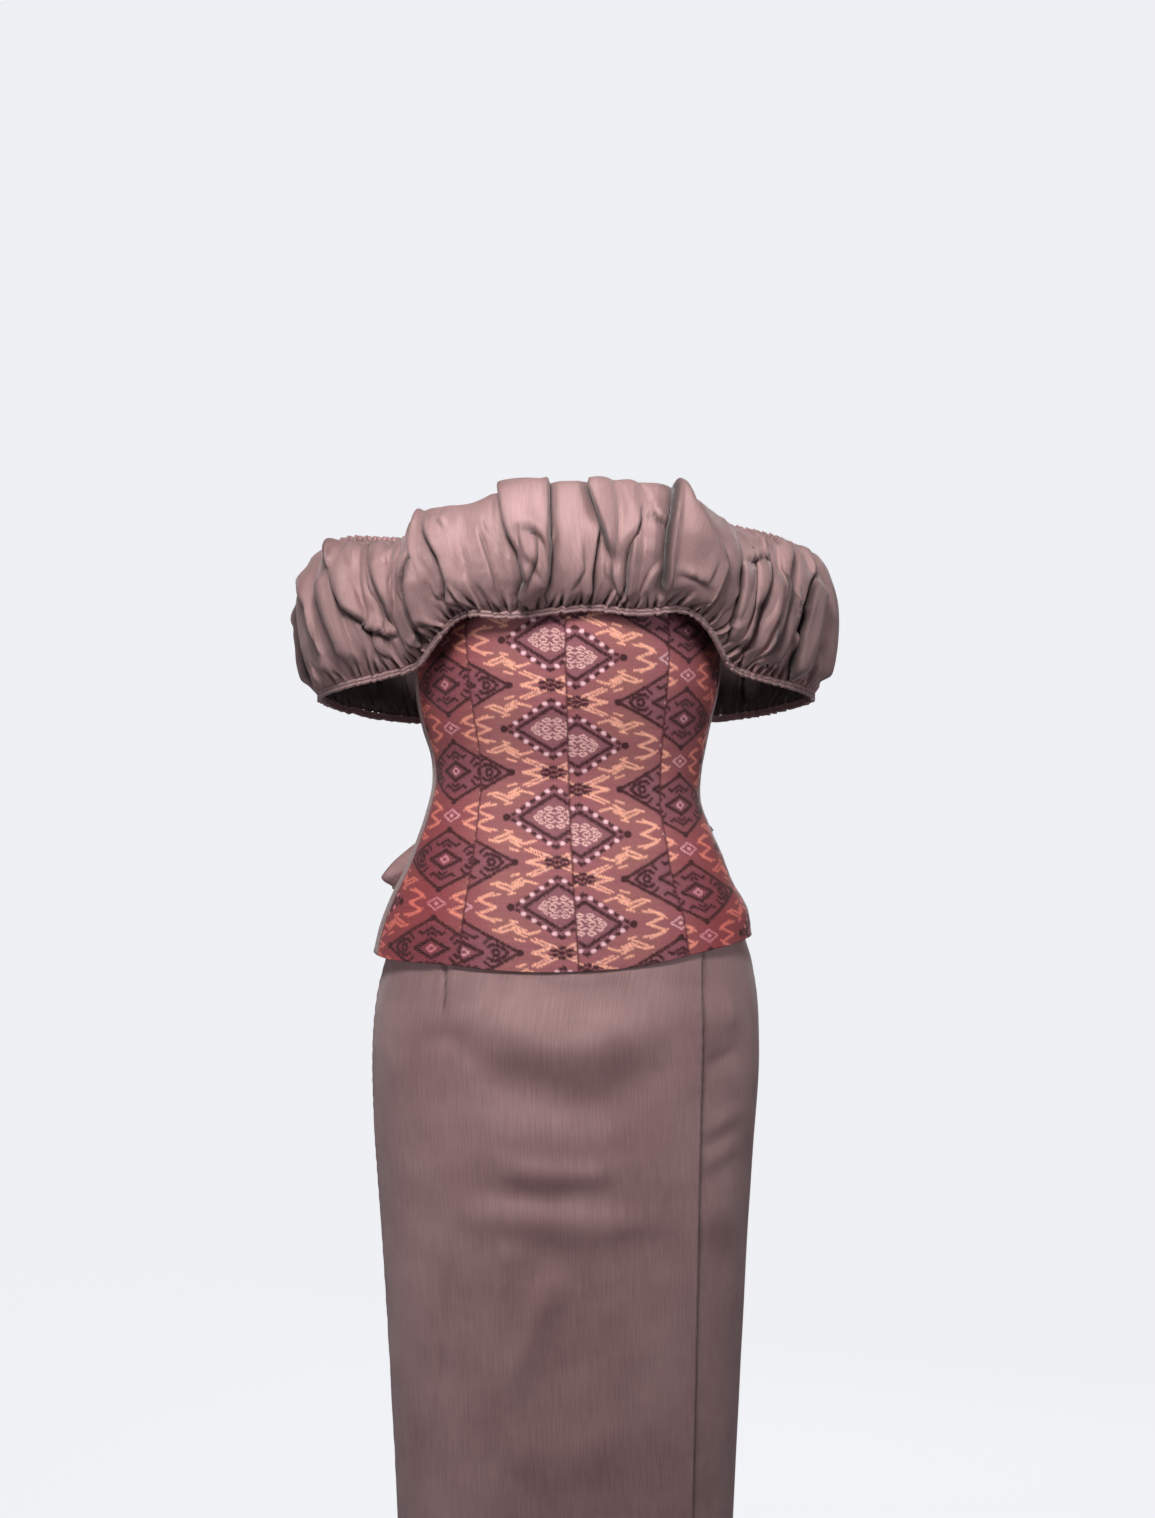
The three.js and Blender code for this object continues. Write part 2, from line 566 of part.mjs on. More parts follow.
const SKIRT_HEIGHTS = [-22.3, -65, -110, -150, -190, -240, -310, -410, -540, -720, -945];
const SKIRT_ROWS = SKIRT_HEIGHTS.length - 1;
const SKIRT_COLUMN = 10;           // degrees to a column of the back panels
const OVERLAP_COLUMNS = 13;        // from the wearer's right side seam to the free edge
const PAST_COLUMNS = 5;            // from the free edge to the wearer's left side seam
const UNDERLAP_START = 9;          // column of the underlap's hidden edge
const UNDERLAP_RISE = OVERLAP_COLUMNS + 0.4;   // where it starts to rise beside the free edge
const UNDERLAY = CLOTH + SEAM;     // how far the underlap lies below the overlap
const FREE_EDGE = { waist: 113.8, slope: 0.0172 };   // its distance from the middle, by height

function skirtHeight(row) {
  const index = Math.min(Math.floor(row), SKIRT_ROWS - 1);
  return THREE.MathUtils.lerp(SKIRT_HEIGHTS[index], SKIRT_HEIGHTS[index + 1], row - index);
}

// Angle of the overlap's free edge, which hangs almost straight down.
function freeEdgeAngle(z) {
  const share = (FREE_EDGE.waist + FREE_EDGE.slope * z) / valueAt(SKIRT, 'z', 'left', z);
  return THREE.MathUtils.radToDeg(Math.asin(share ** (1 / FULLNESS)));
}

function frontAngle(column, z) {
  const edge = freeEdgeAngle(z);
  if (column <= OVERLAP_COLUMNS) return -90 + ((90 + edge) * column) / OVERLAP_COLUMNS;
  return edge + ((90 - edge) * (column - OVERLAP_COLUMNS)) / PAST_COLUMNS;
}

function overlapPoint(column, row) {
  const z = skirtHeight(row);
  return sectionPoint(SKIRT, frontAngle(column, z), z, 0);
}

// The underlap lies one layer lower until it is past the overlap's edge, and rises to its seam.
function underlapPoint(column, row) {
  const z = skirtHeight(row);
  const rise = THREE.MathUtils.smoothstep(column, UNDERLAP_RISE, OVERLAP_COLUMNS + PAST_COLUMNS);
  return sectionPoint(SKIRT, frontAngle(column, z), z, UNDERLAY * (1 - rise));
}

function skirtBackPoint(column, row) {
  return sectionPoint(SKIRT, column * SKIRT_COLUMN, skirtHeight(row), 0);
}

const QUARTER = 90 / SKIRT_COLUMN;
const overlapCut = { first: 0, last: OVERLAP_COLUMNS, sewnLast: false };
const underlapCut = { first: UNDERLAP_START, last: OVERLAP_COLUMNS + PAST_COLUMNS, sewnFirst: false };
const leftCut = { first: QUARTER, last: 2 * QUARTER };
const rightCut = { first: 2 * QUARTER, last: 3 * QUARTER };
addPiece('skirt_front_overlap', panel(overlapPoint, { ...overlapCut, rows: SKIRT_ROWS }), SATIN);
addPiece('skirt_front_underlap', panel(underlapPoint, { ...underlapCut, rows: SKIRT_ROWS }), SATIN);
addPiece('skirt_back_left', panel(skirtBackPoint, { ...leftCut, rows: SKIRT_ROWS }), SATIN);
addPiece('skirt_back_right', panel(skirtBackPoint, { ...rightCut, rows: SKIRT_ROWS }), SATIN);

const WAISTBAND = { top: 12, foot: -21.4, inset: 2.8 };
const WAISTBAND_COLUMNS = 24;
const WAISTBAND_ROWS = 2;

// The waistband lies just inside the blouse.
function waistbandPoint(column, row) {
  const degrees = (column / WAISTBAND_COLUMNS) * 360;
  const z = WAISTBAND.top + (WAISTBAND.foot - WAISTBAND.top) * (row / WAISTBAND_ROWS);
  return sectionPoint(BLOUSE, degrees, z, WAISTBAND.inset);
}

addPiece('skirt_waistband', ringWall(waistbandPoint, WAISTBAND_COLUMNS, WAISTBAND_ROWS), SATIN);

export default set;
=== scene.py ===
# An off-the-shoulder blouse over a long wrapped skirt, in mauve satin and ikat cloth, worn and
# hollow. Metres, +Z up. The front faces -Y and the wearer's left is +X.

import math

import bmesh
import bpy
import numpy as np
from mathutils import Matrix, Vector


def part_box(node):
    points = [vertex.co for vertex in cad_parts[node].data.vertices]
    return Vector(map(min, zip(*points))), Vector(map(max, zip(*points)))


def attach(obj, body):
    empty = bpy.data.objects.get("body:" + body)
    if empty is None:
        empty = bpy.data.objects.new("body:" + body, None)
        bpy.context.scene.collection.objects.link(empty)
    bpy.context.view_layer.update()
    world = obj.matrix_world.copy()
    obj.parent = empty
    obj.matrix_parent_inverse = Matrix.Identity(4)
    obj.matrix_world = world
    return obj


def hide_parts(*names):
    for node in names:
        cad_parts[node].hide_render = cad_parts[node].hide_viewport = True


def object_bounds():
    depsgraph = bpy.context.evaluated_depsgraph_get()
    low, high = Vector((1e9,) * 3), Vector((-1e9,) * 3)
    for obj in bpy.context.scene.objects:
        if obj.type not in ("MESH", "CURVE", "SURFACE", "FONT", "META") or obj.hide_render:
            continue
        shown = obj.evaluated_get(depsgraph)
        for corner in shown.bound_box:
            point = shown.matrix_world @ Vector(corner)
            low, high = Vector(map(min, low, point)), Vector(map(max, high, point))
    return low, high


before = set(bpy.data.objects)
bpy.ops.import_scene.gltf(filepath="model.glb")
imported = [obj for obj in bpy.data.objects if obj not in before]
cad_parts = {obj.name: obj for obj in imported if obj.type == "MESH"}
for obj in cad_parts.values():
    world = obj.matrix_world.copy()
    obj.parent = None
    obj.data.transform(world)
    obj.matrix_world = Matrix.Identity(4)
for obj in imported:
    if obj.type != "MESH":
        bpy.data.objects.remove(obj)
cad_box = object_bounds()

# ---------------------------------------------------------------- studio
# A level camera stands in front, a little to the wearer's right. A pale paper floor sweeps up
# into a backdrop. A small key light and a fill stand in front, a tall light on the wearer's
# right, and two wide ones above and behind.

CAMERA_TURN = math.radians(-6)
CAMERA_DISTANCE = 2.2
CAMERA_SHIFT = 0.01035             # how far it stands to the wearer's left of the middle
CAMERA_HEIGHT = 0.0234
LENS = 57.97                       # focal length in millimetres, for a film 36 mm wide
HEM_CLEARANCE = 0.09               # from the floor to the hem of somebody standing in the set
PAPER_ROWS = 24                    # of the backdrop: the floor's, the bend's, and one that stands
FLOOR_ROWS = 4


def aim(thing, target):
    """Turns a light or camera to look at a point."""
    direction = np.array(target) - np.array(thing.location)
    flat = math.hypot(direction[0], direction[1])
    thing.rotation_euler = (
        math.pi / 2 + math.atan2(direction[2], flat),
        0,
        -math.atan2(direction[0], direction[1]),
    )


def add_camera():
    right = np.array((math.cos(CAMERA_TURN), math.sin(CAMERA_TURN), 0))
    towards = np.array((math.sin(CAMERA_TURN), -math.cos(CAMERA_TURN), 0))
    place = right * CAMERA_SHIFT + towards * CAMERA_DISTANCE
    bpy.ops.object.camera_add(location=(place[0], place[1], CAMERA_HEIGHT))
    camera = bpy.context.active_object
    camera.rotation_euler = (math.pi / 2, 0, CAMERA_TURN)
    camera.data.lens = LENS
    camera.data.sensor_width = 36
    bpy.context.scene.camera = camera


def add_light(name, place, target, size, watts, tint, spread=180):
    bpy.ops.object.light_add(type="AREA", location=place)
    light = bpy.context.active_object
    light.name = name
    light.data.shape = "RECTANGLE"
    light.data.size = size[0]
    light.data.size_y = size[1]
    light.data.energy = watts
    light.data.color = tint
    light.data.spread = math.radians(spread)
    aim(light, target)


def deselect_all():
    bpy.ops.object.select_all(action="DESELECT")


def srgb(red, green, blue):
    """A colour given as 0 to 255 of sRGB, as linear values with alpha."""
    parts = [value / 255 for value in (red, green, blue)]
    linear = [part / 12.92 if part <= 0.04045 else ((part + 0.055) / 1.055) ** 2.4 for part in parts]
    return (*linear, 1)


BACKGROUND = srgb(239, 240, 244)


def glow_for_camera(tree, socket, seen, cast):
    """Gives a glow one strength where it is seen directly and another for the light it casts."""
    path = tree.nodes.new("ShaderNodeLightPath")
    strength = tree.nodes.new("ShaderNodeMapRange")
    strength.inputs["To Min"].default_value = cast
    strength.inputs["To Max"].default_value = seen
    tree.links.new(path.outputs["Is Camera Ray"], strength.inputs["Value"])
    tree.links.new(strength.outputs[0], socket)


def new_material(name):
    """A material with nodes, and its main shader."""
    material = bpy.data.materials.new(name)
    material.use_nodes = True
    return material, material.node_tree.nodes["Principled BSDF"]


def set_finish(shader, **values):
    """Sets the shader's own sockets, each named with _ for a space."""
    for name, value in values.items():
        shader.inputs[name.replace("_", " ")].default_value = value


def add_backdrop():
    """A sheet of paper that lies as a floor, bends up behind the set, and stands as a wall."""
    floor = cad_box[0][2] - HEM_CLEARANCE
    front, back, bend, high, half_width = -5.0, 1.6, 1.4, 4.5, 6
    deselect_all()
    bpy.ops.mesh.primitive_grid_add(x_subdivisions=1, y_subdivisions=PAPER_ROWS, size=2)
    backdrop = bpy.context.active_object
    backdrop.name = "backdrop"
    for vertex in backdrop.data.vertices:
        row = round((vertex.co.y + 1) / 2 * PAPER_ROWS)
        across = vertex.co.x * half_width
        if row <= FLOOR_ROWS:
            vertex.co = (across, front + (back - front) * row / FLOOR_ROWS, floor)
        elif row < PAPER_ROWS:
            turn = (row - FLOOR_ROWS) / (PAPER_ROWS - 1 - FLOOR_ROWS) * math.pi / 2
            vertex.co = (across, back + bend * math.sin(turn), floor + bend * (1 - math.cos(turn)))
        else:
            vertex.co = (across, back + bend, floor + bend + high)
    bpy.ops.object.shade_smooth()
    paper, shader = new_material("studio_paper")
    set_finish(shader, Base_Color=srgb(52, 53, 55), Roughness=1, Specular_IOR_Level=0)
    set_finish(shader, Emission_Color=BACKGROUND)
    glow_for_camera(paper.node_tree, shader.inputs["Emission Strength"], seen=0.985, cast=0.16)
    backdrop.data.materials.append(paper)


add_camera()
add_backdrop()
add_light("key", (-0.24, -0.98, 0.88), (0, 0, 0.3), (0.36, 0.36), 10, (1, 0.985, 0.97), spread=120)
add_light("fill", (1.35, -1.1, 0.2), (0, 0, 0), (0.6, 0.6), 7.8, (0.96, 0.96, 1))
add_light("side", (-1.5, -0.5, -0.3), (0, 0, -0.4), (0.5, 0.8), 6, (0.95, 0.95, 1))
add_light("top", (0.1, -0.1, 1.6), (0, 0, 0.1), (1.2, 0.8), 3, (1, 1, 1))
add_light("back", (0.5, 1.9, 0.1), (0, 0, -0.1), (1.2, 1.2), 30, (0.98, 0.99, 1))
world = bpy.data.worlds.new("studio")
world.use_nodes = True
sky = world.node_tree.nodes["Background"]
sky.inputs["Color"].default_value = BACKGROUND
glow_for_camera(world.node_tree, sky.inputs["Strength"], seen=1.0, cast=0.14)
bpy.context.scene.world = world
bpy.context.scene.view_settings.view_transform = "Standard"

# ---------------------------------------------------------------- blouse, patterned front
# Four panels of ikat cloth, cut from one repeat and sewn at the centre front and along the two
# princess seams. The pattern follows each panel and stops where a seam cuts it.

CLOTH = 0.0015                     # thickness of every wall of cloth in the solids
ROOT = "root"
TO_MM = 1000                       # from metres to millimetres
FROM_MM = 0.001                    # and back


def select_only(thing):
    deselect_all()
    thing.select_set(True)
    bpy.context.view_layer.objects.active = thing


def merged_copy(node):
    """A copy of a solid with its loose triangles joined at their corners."""
    select_only(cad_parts[node])
    bpy.ops.object.duplicate()
    copy = bpy.context.active_object
    bpy.ops.object.mode_set(mode="EDIT")
    bpy.ops.mesh.select_all(action="SELECT")
    bpy.ops.mesh.remove_doubles(threshold=0.00001)
    bpy.ops.object.mode_set(mode="OBJECT")
    return copy


def outer_faces(form):
    """The faces of a wall's outer side: of its two sides, the one with the larger area. Faces with
    an edge as short as the cloth is thick are the wall's own edges and belong to neither."""
    walls = {
        face
        for face in form.faces
        if all(abs(edge.calc_length() - CLOTH) > CLOTH * 0.1 for edge in face.edges)
    }
    sides = []
    while walls:
        side = set()
        waiting = [walls.pop()]
        while waiting:
            face = waiting.pop()
            side.add(face)
            near = {other for edge in face.edges for other in edge.link_faces} & walls
            walls -= near
            waiting.extend(near)
        sides.append(side)
    return max(sides, key=lambda side: sum(face.calc_area() for face in side))


def cloth_rows(node):
    """Points of a wall's outer side as rows from its top edge down, each from its right edge to
    its left. Every bay of the grid is split from its upper right corner to its lower left one."""
    copy = merged_copy(node)
    form = bmesh.new()
    form.from_mesh(copy.data)
    outer = outer_faces(form)

    def bays(vertex):
        return sum(face in outer for face in vertex.link_faces)

    rim = {}
    for edge in form.edges:
        if sum(face in outer for face in edge.link_faces) == 1:
            for vertex in edge.verts:
                rim.setdefault(vertex, []).append(edge.other_vert(vertex))
    start = max((vertex for vertex in rim if bays(vertex) == 2), key=lambda v: v.co.z)
    borders = []
    for step in rim[start]:
        border = [start, step]
        while bays(border[-1]) != 1:
            ways = [vertex for vertex in rim[border[-1]] if vertex is not border[-2]]
            border.append(ways[0])
        borders.append(border)
    top, side = sorted(borders, key=lambda border: -border[-1].co.z)
    rows = [top]
    for first in side[1:]:
        above = set(rows[-2]) if len(rows) > 1 else set()
        row = [first]
        for left, right in zip(rows[-1], rows[-1][1:]):
            shared = [face for face in left.link_faces if face in outer and right in face.verts]
            corners = {vertex for face in shared for vertex in face.verts} - {left, right} - above
            row.append(corners.pop())
        rows.append(row)
    points = np.array([[vertex.co for vertex in row] for row in rows])
    form.free()
    bpy.data.meshes.remove(copy.data)
    return points


def finer(points, times, axis):
    """A smooth curve through the points along one axis of a grid, with more points on it."""
    points = np.moveaxis(points, axis, 0)
    bays = len(points) - 1
    first = 2 * points[:1] - points[1:2]
    last = 2 * points[-1:] - points[-2:-1]
    chain = np.concatenate([first, points, last])
    place = np.arange(bays * times + 1) / times
    bay = np.minimum(place.astype(int), bays - 1)
    t = (place - bay).reshape(-1, *[1] * (points.ndim - 1))
    before, start, end, after = (chain[bay + offset] for offset in range(4))
    curve = start + t / 2 * (
        end - before
        + t * (2 * before - 5 * start + 4 * end - after)
        + t * t * (3 * start - 3 * end + after - before)
    )
    return np.moveaxis(curve, 0, axis)


def unit(vectors):
    return vectors / np.linalg.norm(vectors, axis=-1, keepdims=True)


def outward(points):
    """Normals of a grid whose rows go down and whose columns go to the right, seen from outside."""
    return unit(np.cross(np.gradient(points, axis=0), np.gradient(points, axis=1)))


def run_length(points, axis):
    """Length along a grid's rows (axis 1) or columns (axis 0), from its first point."""
    steps = np.linalg.norm(np.diff(points, axis=axis), axis=-1)
    return np.insert(np.cumsum(steps, axis=axis), 0, 0, axis=axis)


def run_back(points):
    """Length along a grid's rows, from its last point back."""
    return run_length(points[:, ::-1], 1)[:, ::-1]


def lifted(points, rise):
    """A grid with its points moved outward by so much each."""
    return points + outward(points) * rise[..., None]


def fine_panel(node, down, across):
    """A solid's outer side with so many points for each of its own."""
    return finer(finer(cloth_rows(node), down, 0), across, 1)


def store(piece, name, values):
    """Keeps a number at each point of a piece, for its material to read."""
    layer = piece.data.attributes.new(name=name, type="FLOAT", domain="POINT")
    layer.data.foreach_set("value", values)


def new_mesh(name, points, faces):
    mesh = bpy.data.meshes.new(name)
    mesh.from_pydata(points.tolist(), [], faces)
    mesh.update()
    piece = bpy.data.objects.new(name, mesh)
    bpy.context.collection.objects.link(piece)
    mesh.polygons.foreach_set("use_smooth", [True] * len(mesh.polygons))
    return piece


def map_cut(piece, cut):
    """Stores where each point lies on the flat cloth, in metres, as the piece's UV map."""
    corners = np.empty(len(piece.data.loops), dtype=np.int32)
    piece.data.loops.foreach_get("vertex_index", corners)
    layer = piece.data.uv_layers.new(name="cut")
    layer.data.foreach_set("uv", cut[corners].astype(np.float32).ravel())


def cloth_shell(name, outer, thickness, step=1):
    """A closed piece of cloth from a grid of its outer side, given its thickness on the inside.
    The inner side has one point for every "step" of the outer side's."""
    rows, columns = outer.shape[:2]
    inner = (outer - thickness * outward(outer))[::step, ::step]
    fine = np.arange(rows * columns).reshape(rows, columns)
    coarse = fine.size + np.arange(inner[..., 0].size).reshape(inner.shape[:2])

    def quads(numbers, turned):
        corners = [numbers[:-1, :-1], numbers[1:, :-1], numbers[1:, 1:], numbers[:-1, 1:]]
        return np.stack(corners[::-1] if turned else corners, axis=-1).reshape(-1, 4).tolist()

    def border(numbers):
        down = numbers[:-1, 0]
        along = numbers[-1, :-1]
        up = numbers[:0:-1, -1]
        back = numbers[0, :0:-1]
        return np.concatenate([down, along, up, back]).tolist()

    rim = []
    edge, lining = border(fine), border(coarse)
    edge.append(edge[0])
    lining.append(lining[0])
    for place in range(len(lining) - 1):
        reach = edge[place * step:(place + 1) * step + 1]
        rim.append(reach[::-1] + lining[place:place + 2])
    points = np.concatenate([outer.reshape(-1, 3), inner.reshape(-1, 3)])
    piece = new_mesh(name, points, quads(fine, False) + quads(coarse, True) + rim)
    across = run_length(outer, 1)
    across = across - across[:, columns // 2, None]
    cut = np.stack([across, -run_length(outer, 0)], axis=-1)
    flat = np.concatenate([cut.reshape(-1, 2), cut[::step, ::step].reshape(-1, 2)])
    map_cut(piece, flat)
    store(piece, "wrong_side", np.repeat([0.0, 1.0], [fine.size, coarse.size]))
    return piece


def wear(piece, material, finish, *nodes):
    """Gives a piece its material, and puts it on the set in place of its solids."""
    piece.data.materials.append(material)
    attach(piece, ROOT)
    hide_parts(*nodes)


def bell(distance, width):
    return np.exp(-((distance / width) ** 2))


def smoothed(values, times):
    """The values of a grid, each drawn so many times towards its neighbours."""
    for axis in (0, 1) * times:
        lines = np.moveaxis(values, axis, 0)
        before = np.concatenate([lines[:1], lines[:-1]])
        after = np.concatenate([lines[1:], lines[-1:]])
        values = np.moveaxis(lines / 2 + (before + after) / 4, 0, axis)
    return values


class Nodes:
    """Adds shader nodes to a tree in a row, and joins their sockets."""

    def __init__(self, tree):
        self.tree = tree

    def add(self, kind, settings=None, **inputs):
        """A node whose inputs are given by name, with _ for a space, or by number, as in i0."""
        node = self.tree.nodes.new(kind)
        node.location = (len(self.tree.nodes) * 180, 0)
        for name, value in (settings or {}).items():
            setattr(node, name, value)
        for name, value in inputs.items():
            numbered = name[0] == "i" and name[1:].isdigit()
            self.feed(node.inputs[int(name[1:]) if numbered else name.replace("_", " ")], value)
        return node

    def feed(self, socket, value):
        if isinstance(value, bpy.types.NodeSocket):
            self.tree.links.new(value, socket)
        else:
            socket.default_value = value

    def math(self, operation, first, second=0.0):
        return self.add("ShaderNodeMath", {"operation": operation}, i0=first, i1=second).outputs[0]

    def vector(self, operation, first, **second):
        return self.add("ShaderNodeVectorMath", {"operation": operation}, i0=first, **second).outputs[0]

    def ranged(self, value, low=0.0, high=1.0, to_low=0.0, to_high=1.0):
        """A value that goes from one number to another as a mask goes from low to high."""
        limits = {"From_Min": low, "From_Max": high, "To_Min": to_low, "To_Max": to_high}
        return self.add("ShaderNodeMapRange", Value=value, **limits).outputs[0]

    def noise(self, place, scale, detail, roughness=0.5):
        settings = {"Scale": scale, "Detail": detail, "Roughness": roughness}
        return self.add("ShaderNodeTexNoise", Vector=place, **settings).outputs["Fac"]

    def mixed(self, share, first, second):
        """A colour between two others."""
        node = self.add("ShaderNodeMix", {"data_type": "RGBA"}, i0=share, i6=first, i7=second)
        return node.outputs[2]

    def bump(self, height, strength, distance, **under):
        settings = {"Strength": strength, "Distance": distance}
        return self.add("ShaderNodeBump", Height=height, **settings, **under).outputs[0]

    def stored(self, name, output="Fac"):
        """What a piece keeps at its points under a name."""
        return self.add("ShaderNodeAttribute", {"attribute_name": name}).outputs[output]

    def cut(self):
        """The place on the flat cloth, in metres."""
        return self.add("ShaderNodeUVMap", {"uv_map": "cut"}).outputs[0]

    def group(self, tree, **inputs):
        """The outputs of a node group that is fed so."""
        return self.add("ShaderNodeGroup", {"node_tree": tree}, **inputs).outputs


def new_group(name, inputs, outputs):
    """An empty group of shader nodes, with its way in and its way out. Its "Place" is a vector,
    and every other socket is a number."""
    tree = bpy.data.node_groups.new(name, "ShaderNodeTree")
    for labels, way in ((inputs, "INPUT"), (outputs, "OUTPUT")):
        for label in labels:
            kind = "NodeSocketVector" if label == "Place" else "NodeSocketFloat"
            tree.interface.new_socket(label, in_out=way, socket_type=kind)
    nodes = Nodes(tree)
    return nodes, nodes.add("NodeGroupInput").outputs, nodes.add("NodeGroupOutput").inputs


SLUBS = (30, 700, 1)               # uneven stretches of thread to a metre, along it and across


def make_weave():
    """Threads over and under each other. "Place" is on the flat cloth, in metres."""
    nodes, way_in, way_out = new_group(
        "thread_weave", ["Place", "Threads", "Slub"], ["Height", "Streaks"]
    )
    axes = nodes.add("ShaderNodeSeparateXYZ", i0=way_in["Place"]).outputs
    turns = nodes.math("MULTIPLY", way_in["Threads"], 2 * math.pi)
    warp = nodes.math("SINE", nodes.math("MULTIPLY", axes[0], turns))
    weft = nodes.math("SINE", nodes.math("MULTIPLY", axes[1], turns))
    streaks = nodes.noise(nodes.vector("MULTIPLY", way_in["Place"], i1=SLUBS), 1.0, 2.0)
    slub = nodes.math("MULTIPLY", streaks, way_in["Slub"])
    crossing = nodes.math("ADD", nodes.math("MULTIPLY", warp, weft), slub)
    nodes.feed(way_out["Height"], nodes.math("MULTIPLY", crossing, 0.5))
    nodes.feed(way_out["Streaks"], streaks)
    return nodes.tree


def make_rumple():
    """Soft unevenness of worn cloth: broad light and dark areas, and small dents."""
    nodes, way_in, way_out = new_group("rumpled_cloth", ["Place", "Size"], ["Tone", "Dents"])
    scale = nodes.math("DIVIDE", 1.0, way_in["Size"])
    broad = nodes.noise(way_in["Place"], scale, 3.0, 0.55)
    small = nodes.noise(way_in["Place"], nodes.math("MULTIPLY", scale, 7.0), 2.0, 0.6)
    nodes.feed(way_out["Tone"], nodes.ranged(broad, 0.32, 0.68))
    nodes.feed(way_out["Dents"], small)
    return nodes.tree


WEAVE = make_weave()
RUMPLE = make_rumple()
DYE_KNOTS = (400, 660, 1)          # to a metre of cloth, across and down


def ikat_cloth():
    """Dyed, plainly woven cloth: its colours lie in the mesh. The dye takes in small knots."""
    material, shader = new_material("ikat_cloth")
    nodes = Nodes(material.node_tree)
    cut = nodes.cut()
    axes = nodes.add("ShaderNodeSeparateXYZ", i0=nodes.vector("MULTIPLY", cut, i1=DYE_KNOTS)).outputs
    turns = [nodes.math(way, axes[0], axes[1]) for way in ("ADD", "SUBTRACT")]
    waves = [nodes.math("COSINE", nodes.math("MULTIPLY", turn, math.pi)) for turn in turns]
    knots = nodes.math("ABSOLUTE", nodes.math("MULTIPLY", *waves))
    cover = nodes.ranged(knots, 0.0, 0.4, 0.62, 1.0)
    dyed = nodes.mixed(cover, GROUND, nodes.stored("dye", "Color"))
    weave = nodes.group(WEAVE, Place=cut, Threads=700.0, Slub=1.4)["Height"]
    shade = nodes.ranged(weave, -0.2, 0.9, 0.86, 1.1)
    nodes.feed(shader.inputs["Base Color"], nodes.vector("SCALE", dyed, Scale=shade))
    nodes.feed(shader.inputs["Normal"], nodes.bump(weave, 0.35, 0.0004))
    set_finish(shader, Roughness=0.7, Specular_IOR_Level=0.25, Sheen_Weight=0.06, Sheen_Roughness=0.5)
    return material


REPEAT = (86, 39)                  # half of the pattern's repeat, across and down, in millimetres

GROUND = srgb(150, 90, 94)
GROUND_WARM = srgb(149, 98, 86)
GROUND_GREY = srgb(125, 81, 94)
GROUND_RED = srgb(140, 49, 55)
BLACK = srgb(34, 2, 12)
PINK = srgb(235, 192, 200)
ORANGE = srgb(246, 176, 150)
ROSETTE = srgb(238, 190, 182)
SEAM_RED = srgb(70, 20, 28)

# One quarter of the repeat, in millimetres from the middle of the dotted diamond: the colour, the
# line's width, and its corners. The rest of the repeat mirrors it.
IKAT_LINES = [
    (BLACK, 3.1, [(30.8, 0), (0, 19.5)]),
    (BLACK, 2.5, [(0, 34.8), (3.6, 34.9), (5.8, 36.9), (10.2, 37.0)]),
    (BLACK, 2.9, [(0, 39), (2.8, 39)]),
    (PINK, 1.5, [(8.6, 32.4), (11.5, 32.4)]),
    (ORANGE, 2.4, [(25.9, 39), (10.5, 35.4)]),
    (ORANGE, 1.65, [(11.5, 34.6), (26.6, 27.8)]),
    (ORANGE, 1.65, [(4.3, 34.4), (22.6, 26.9)]),
    (ORANGE, 2.4, [(55, 0), (69, 5.2)]),
    (ORANGE, 1.65, [(51, 11.2), (62, 9.5), (73, 4.7)]),
    (ORANGE, 1.65, [(57, 12.5), (70.5, 7.3)]),
    (ORANGE, 1.9, [(18, 20.3), (28, 23), (41, 17.5)]),
    (ORANGE, 1.65, [(30, 20), (40, 15.5)]),
    (ORANGE, 1.65, [(30, 25.5), (40, 20.5)]),
    (ORANGE, 1.65, [(32.5, 29.2), (40.3, 26.9)]),
    (ORANGE, 1.65, [(33, 25), (36.5, 18.5)]),
    (ORANGE, 1.65, [(37, 12.8), (43.6, 11.1)]),
    (ORANGE, 1.9, [(40.3, 13.7), (53.5, 18.7)]),
    (ORANGE, 1.9, [(41.7, 18.3), (50.8, 21.3), (58.7, 19.6)]),
    (BLACK, 2.9, [(36.5, 39), (60, 26.5), (86, 12.5)]),
    (BLACK, 2.5, [(61.5, 26), (67.5, 31)]),
    (BLACK, 3.3, [(69.5, 39), (86, 31)]),
    (BLACK, 2.9, [(63.5, 34), (60.5, 32.2), (56, 32.6), (50.5, 35.4), (47, 39)]),
    (BLACK, 2.5, [(60.5, 39), (59, 36.4), (55.6, 36.6), (54, 39)]),
    (BLACK, 2.5, [(73, 25), (76.5, 26.5), (86, 21.5)]),
    (BLACK, 2.5, [(82, 27.5), (86, 25.5)]),
    (PINK, 1.4, [(81.5, 39), (86, 36)]),
    (PINK, 1.4, [(76.5, 0), (86, 5.2)]),
    (ROSETTE, 1.1, [(2.2, 0), (5.2, 2.2), (9, 0.7)]),
    (ROSETTE, 1.1, [(0, 3), (3.2, 4.6), (7.4, 3)]),
    (ROSETTE, 1.1, [(1.2, 7.6), (4.4, 9.6), (8.2, 7.4), (4.6, 6.2), (1.2, 7.6)]),
    (ROSETTE, 1.1, [(8.4, 5.2), (11.6, 3.4)]),
    (ROSETTE, 1.1, [(10.6, 1.4), (14.6, 2.6), (18, 0.6)]),
    (ROSETTE, 1.1, [(11, 5.8), (14.6, 4)]),
    (ROSETTE, 1.1, [(12.6, 0), (16, 0)]),
]
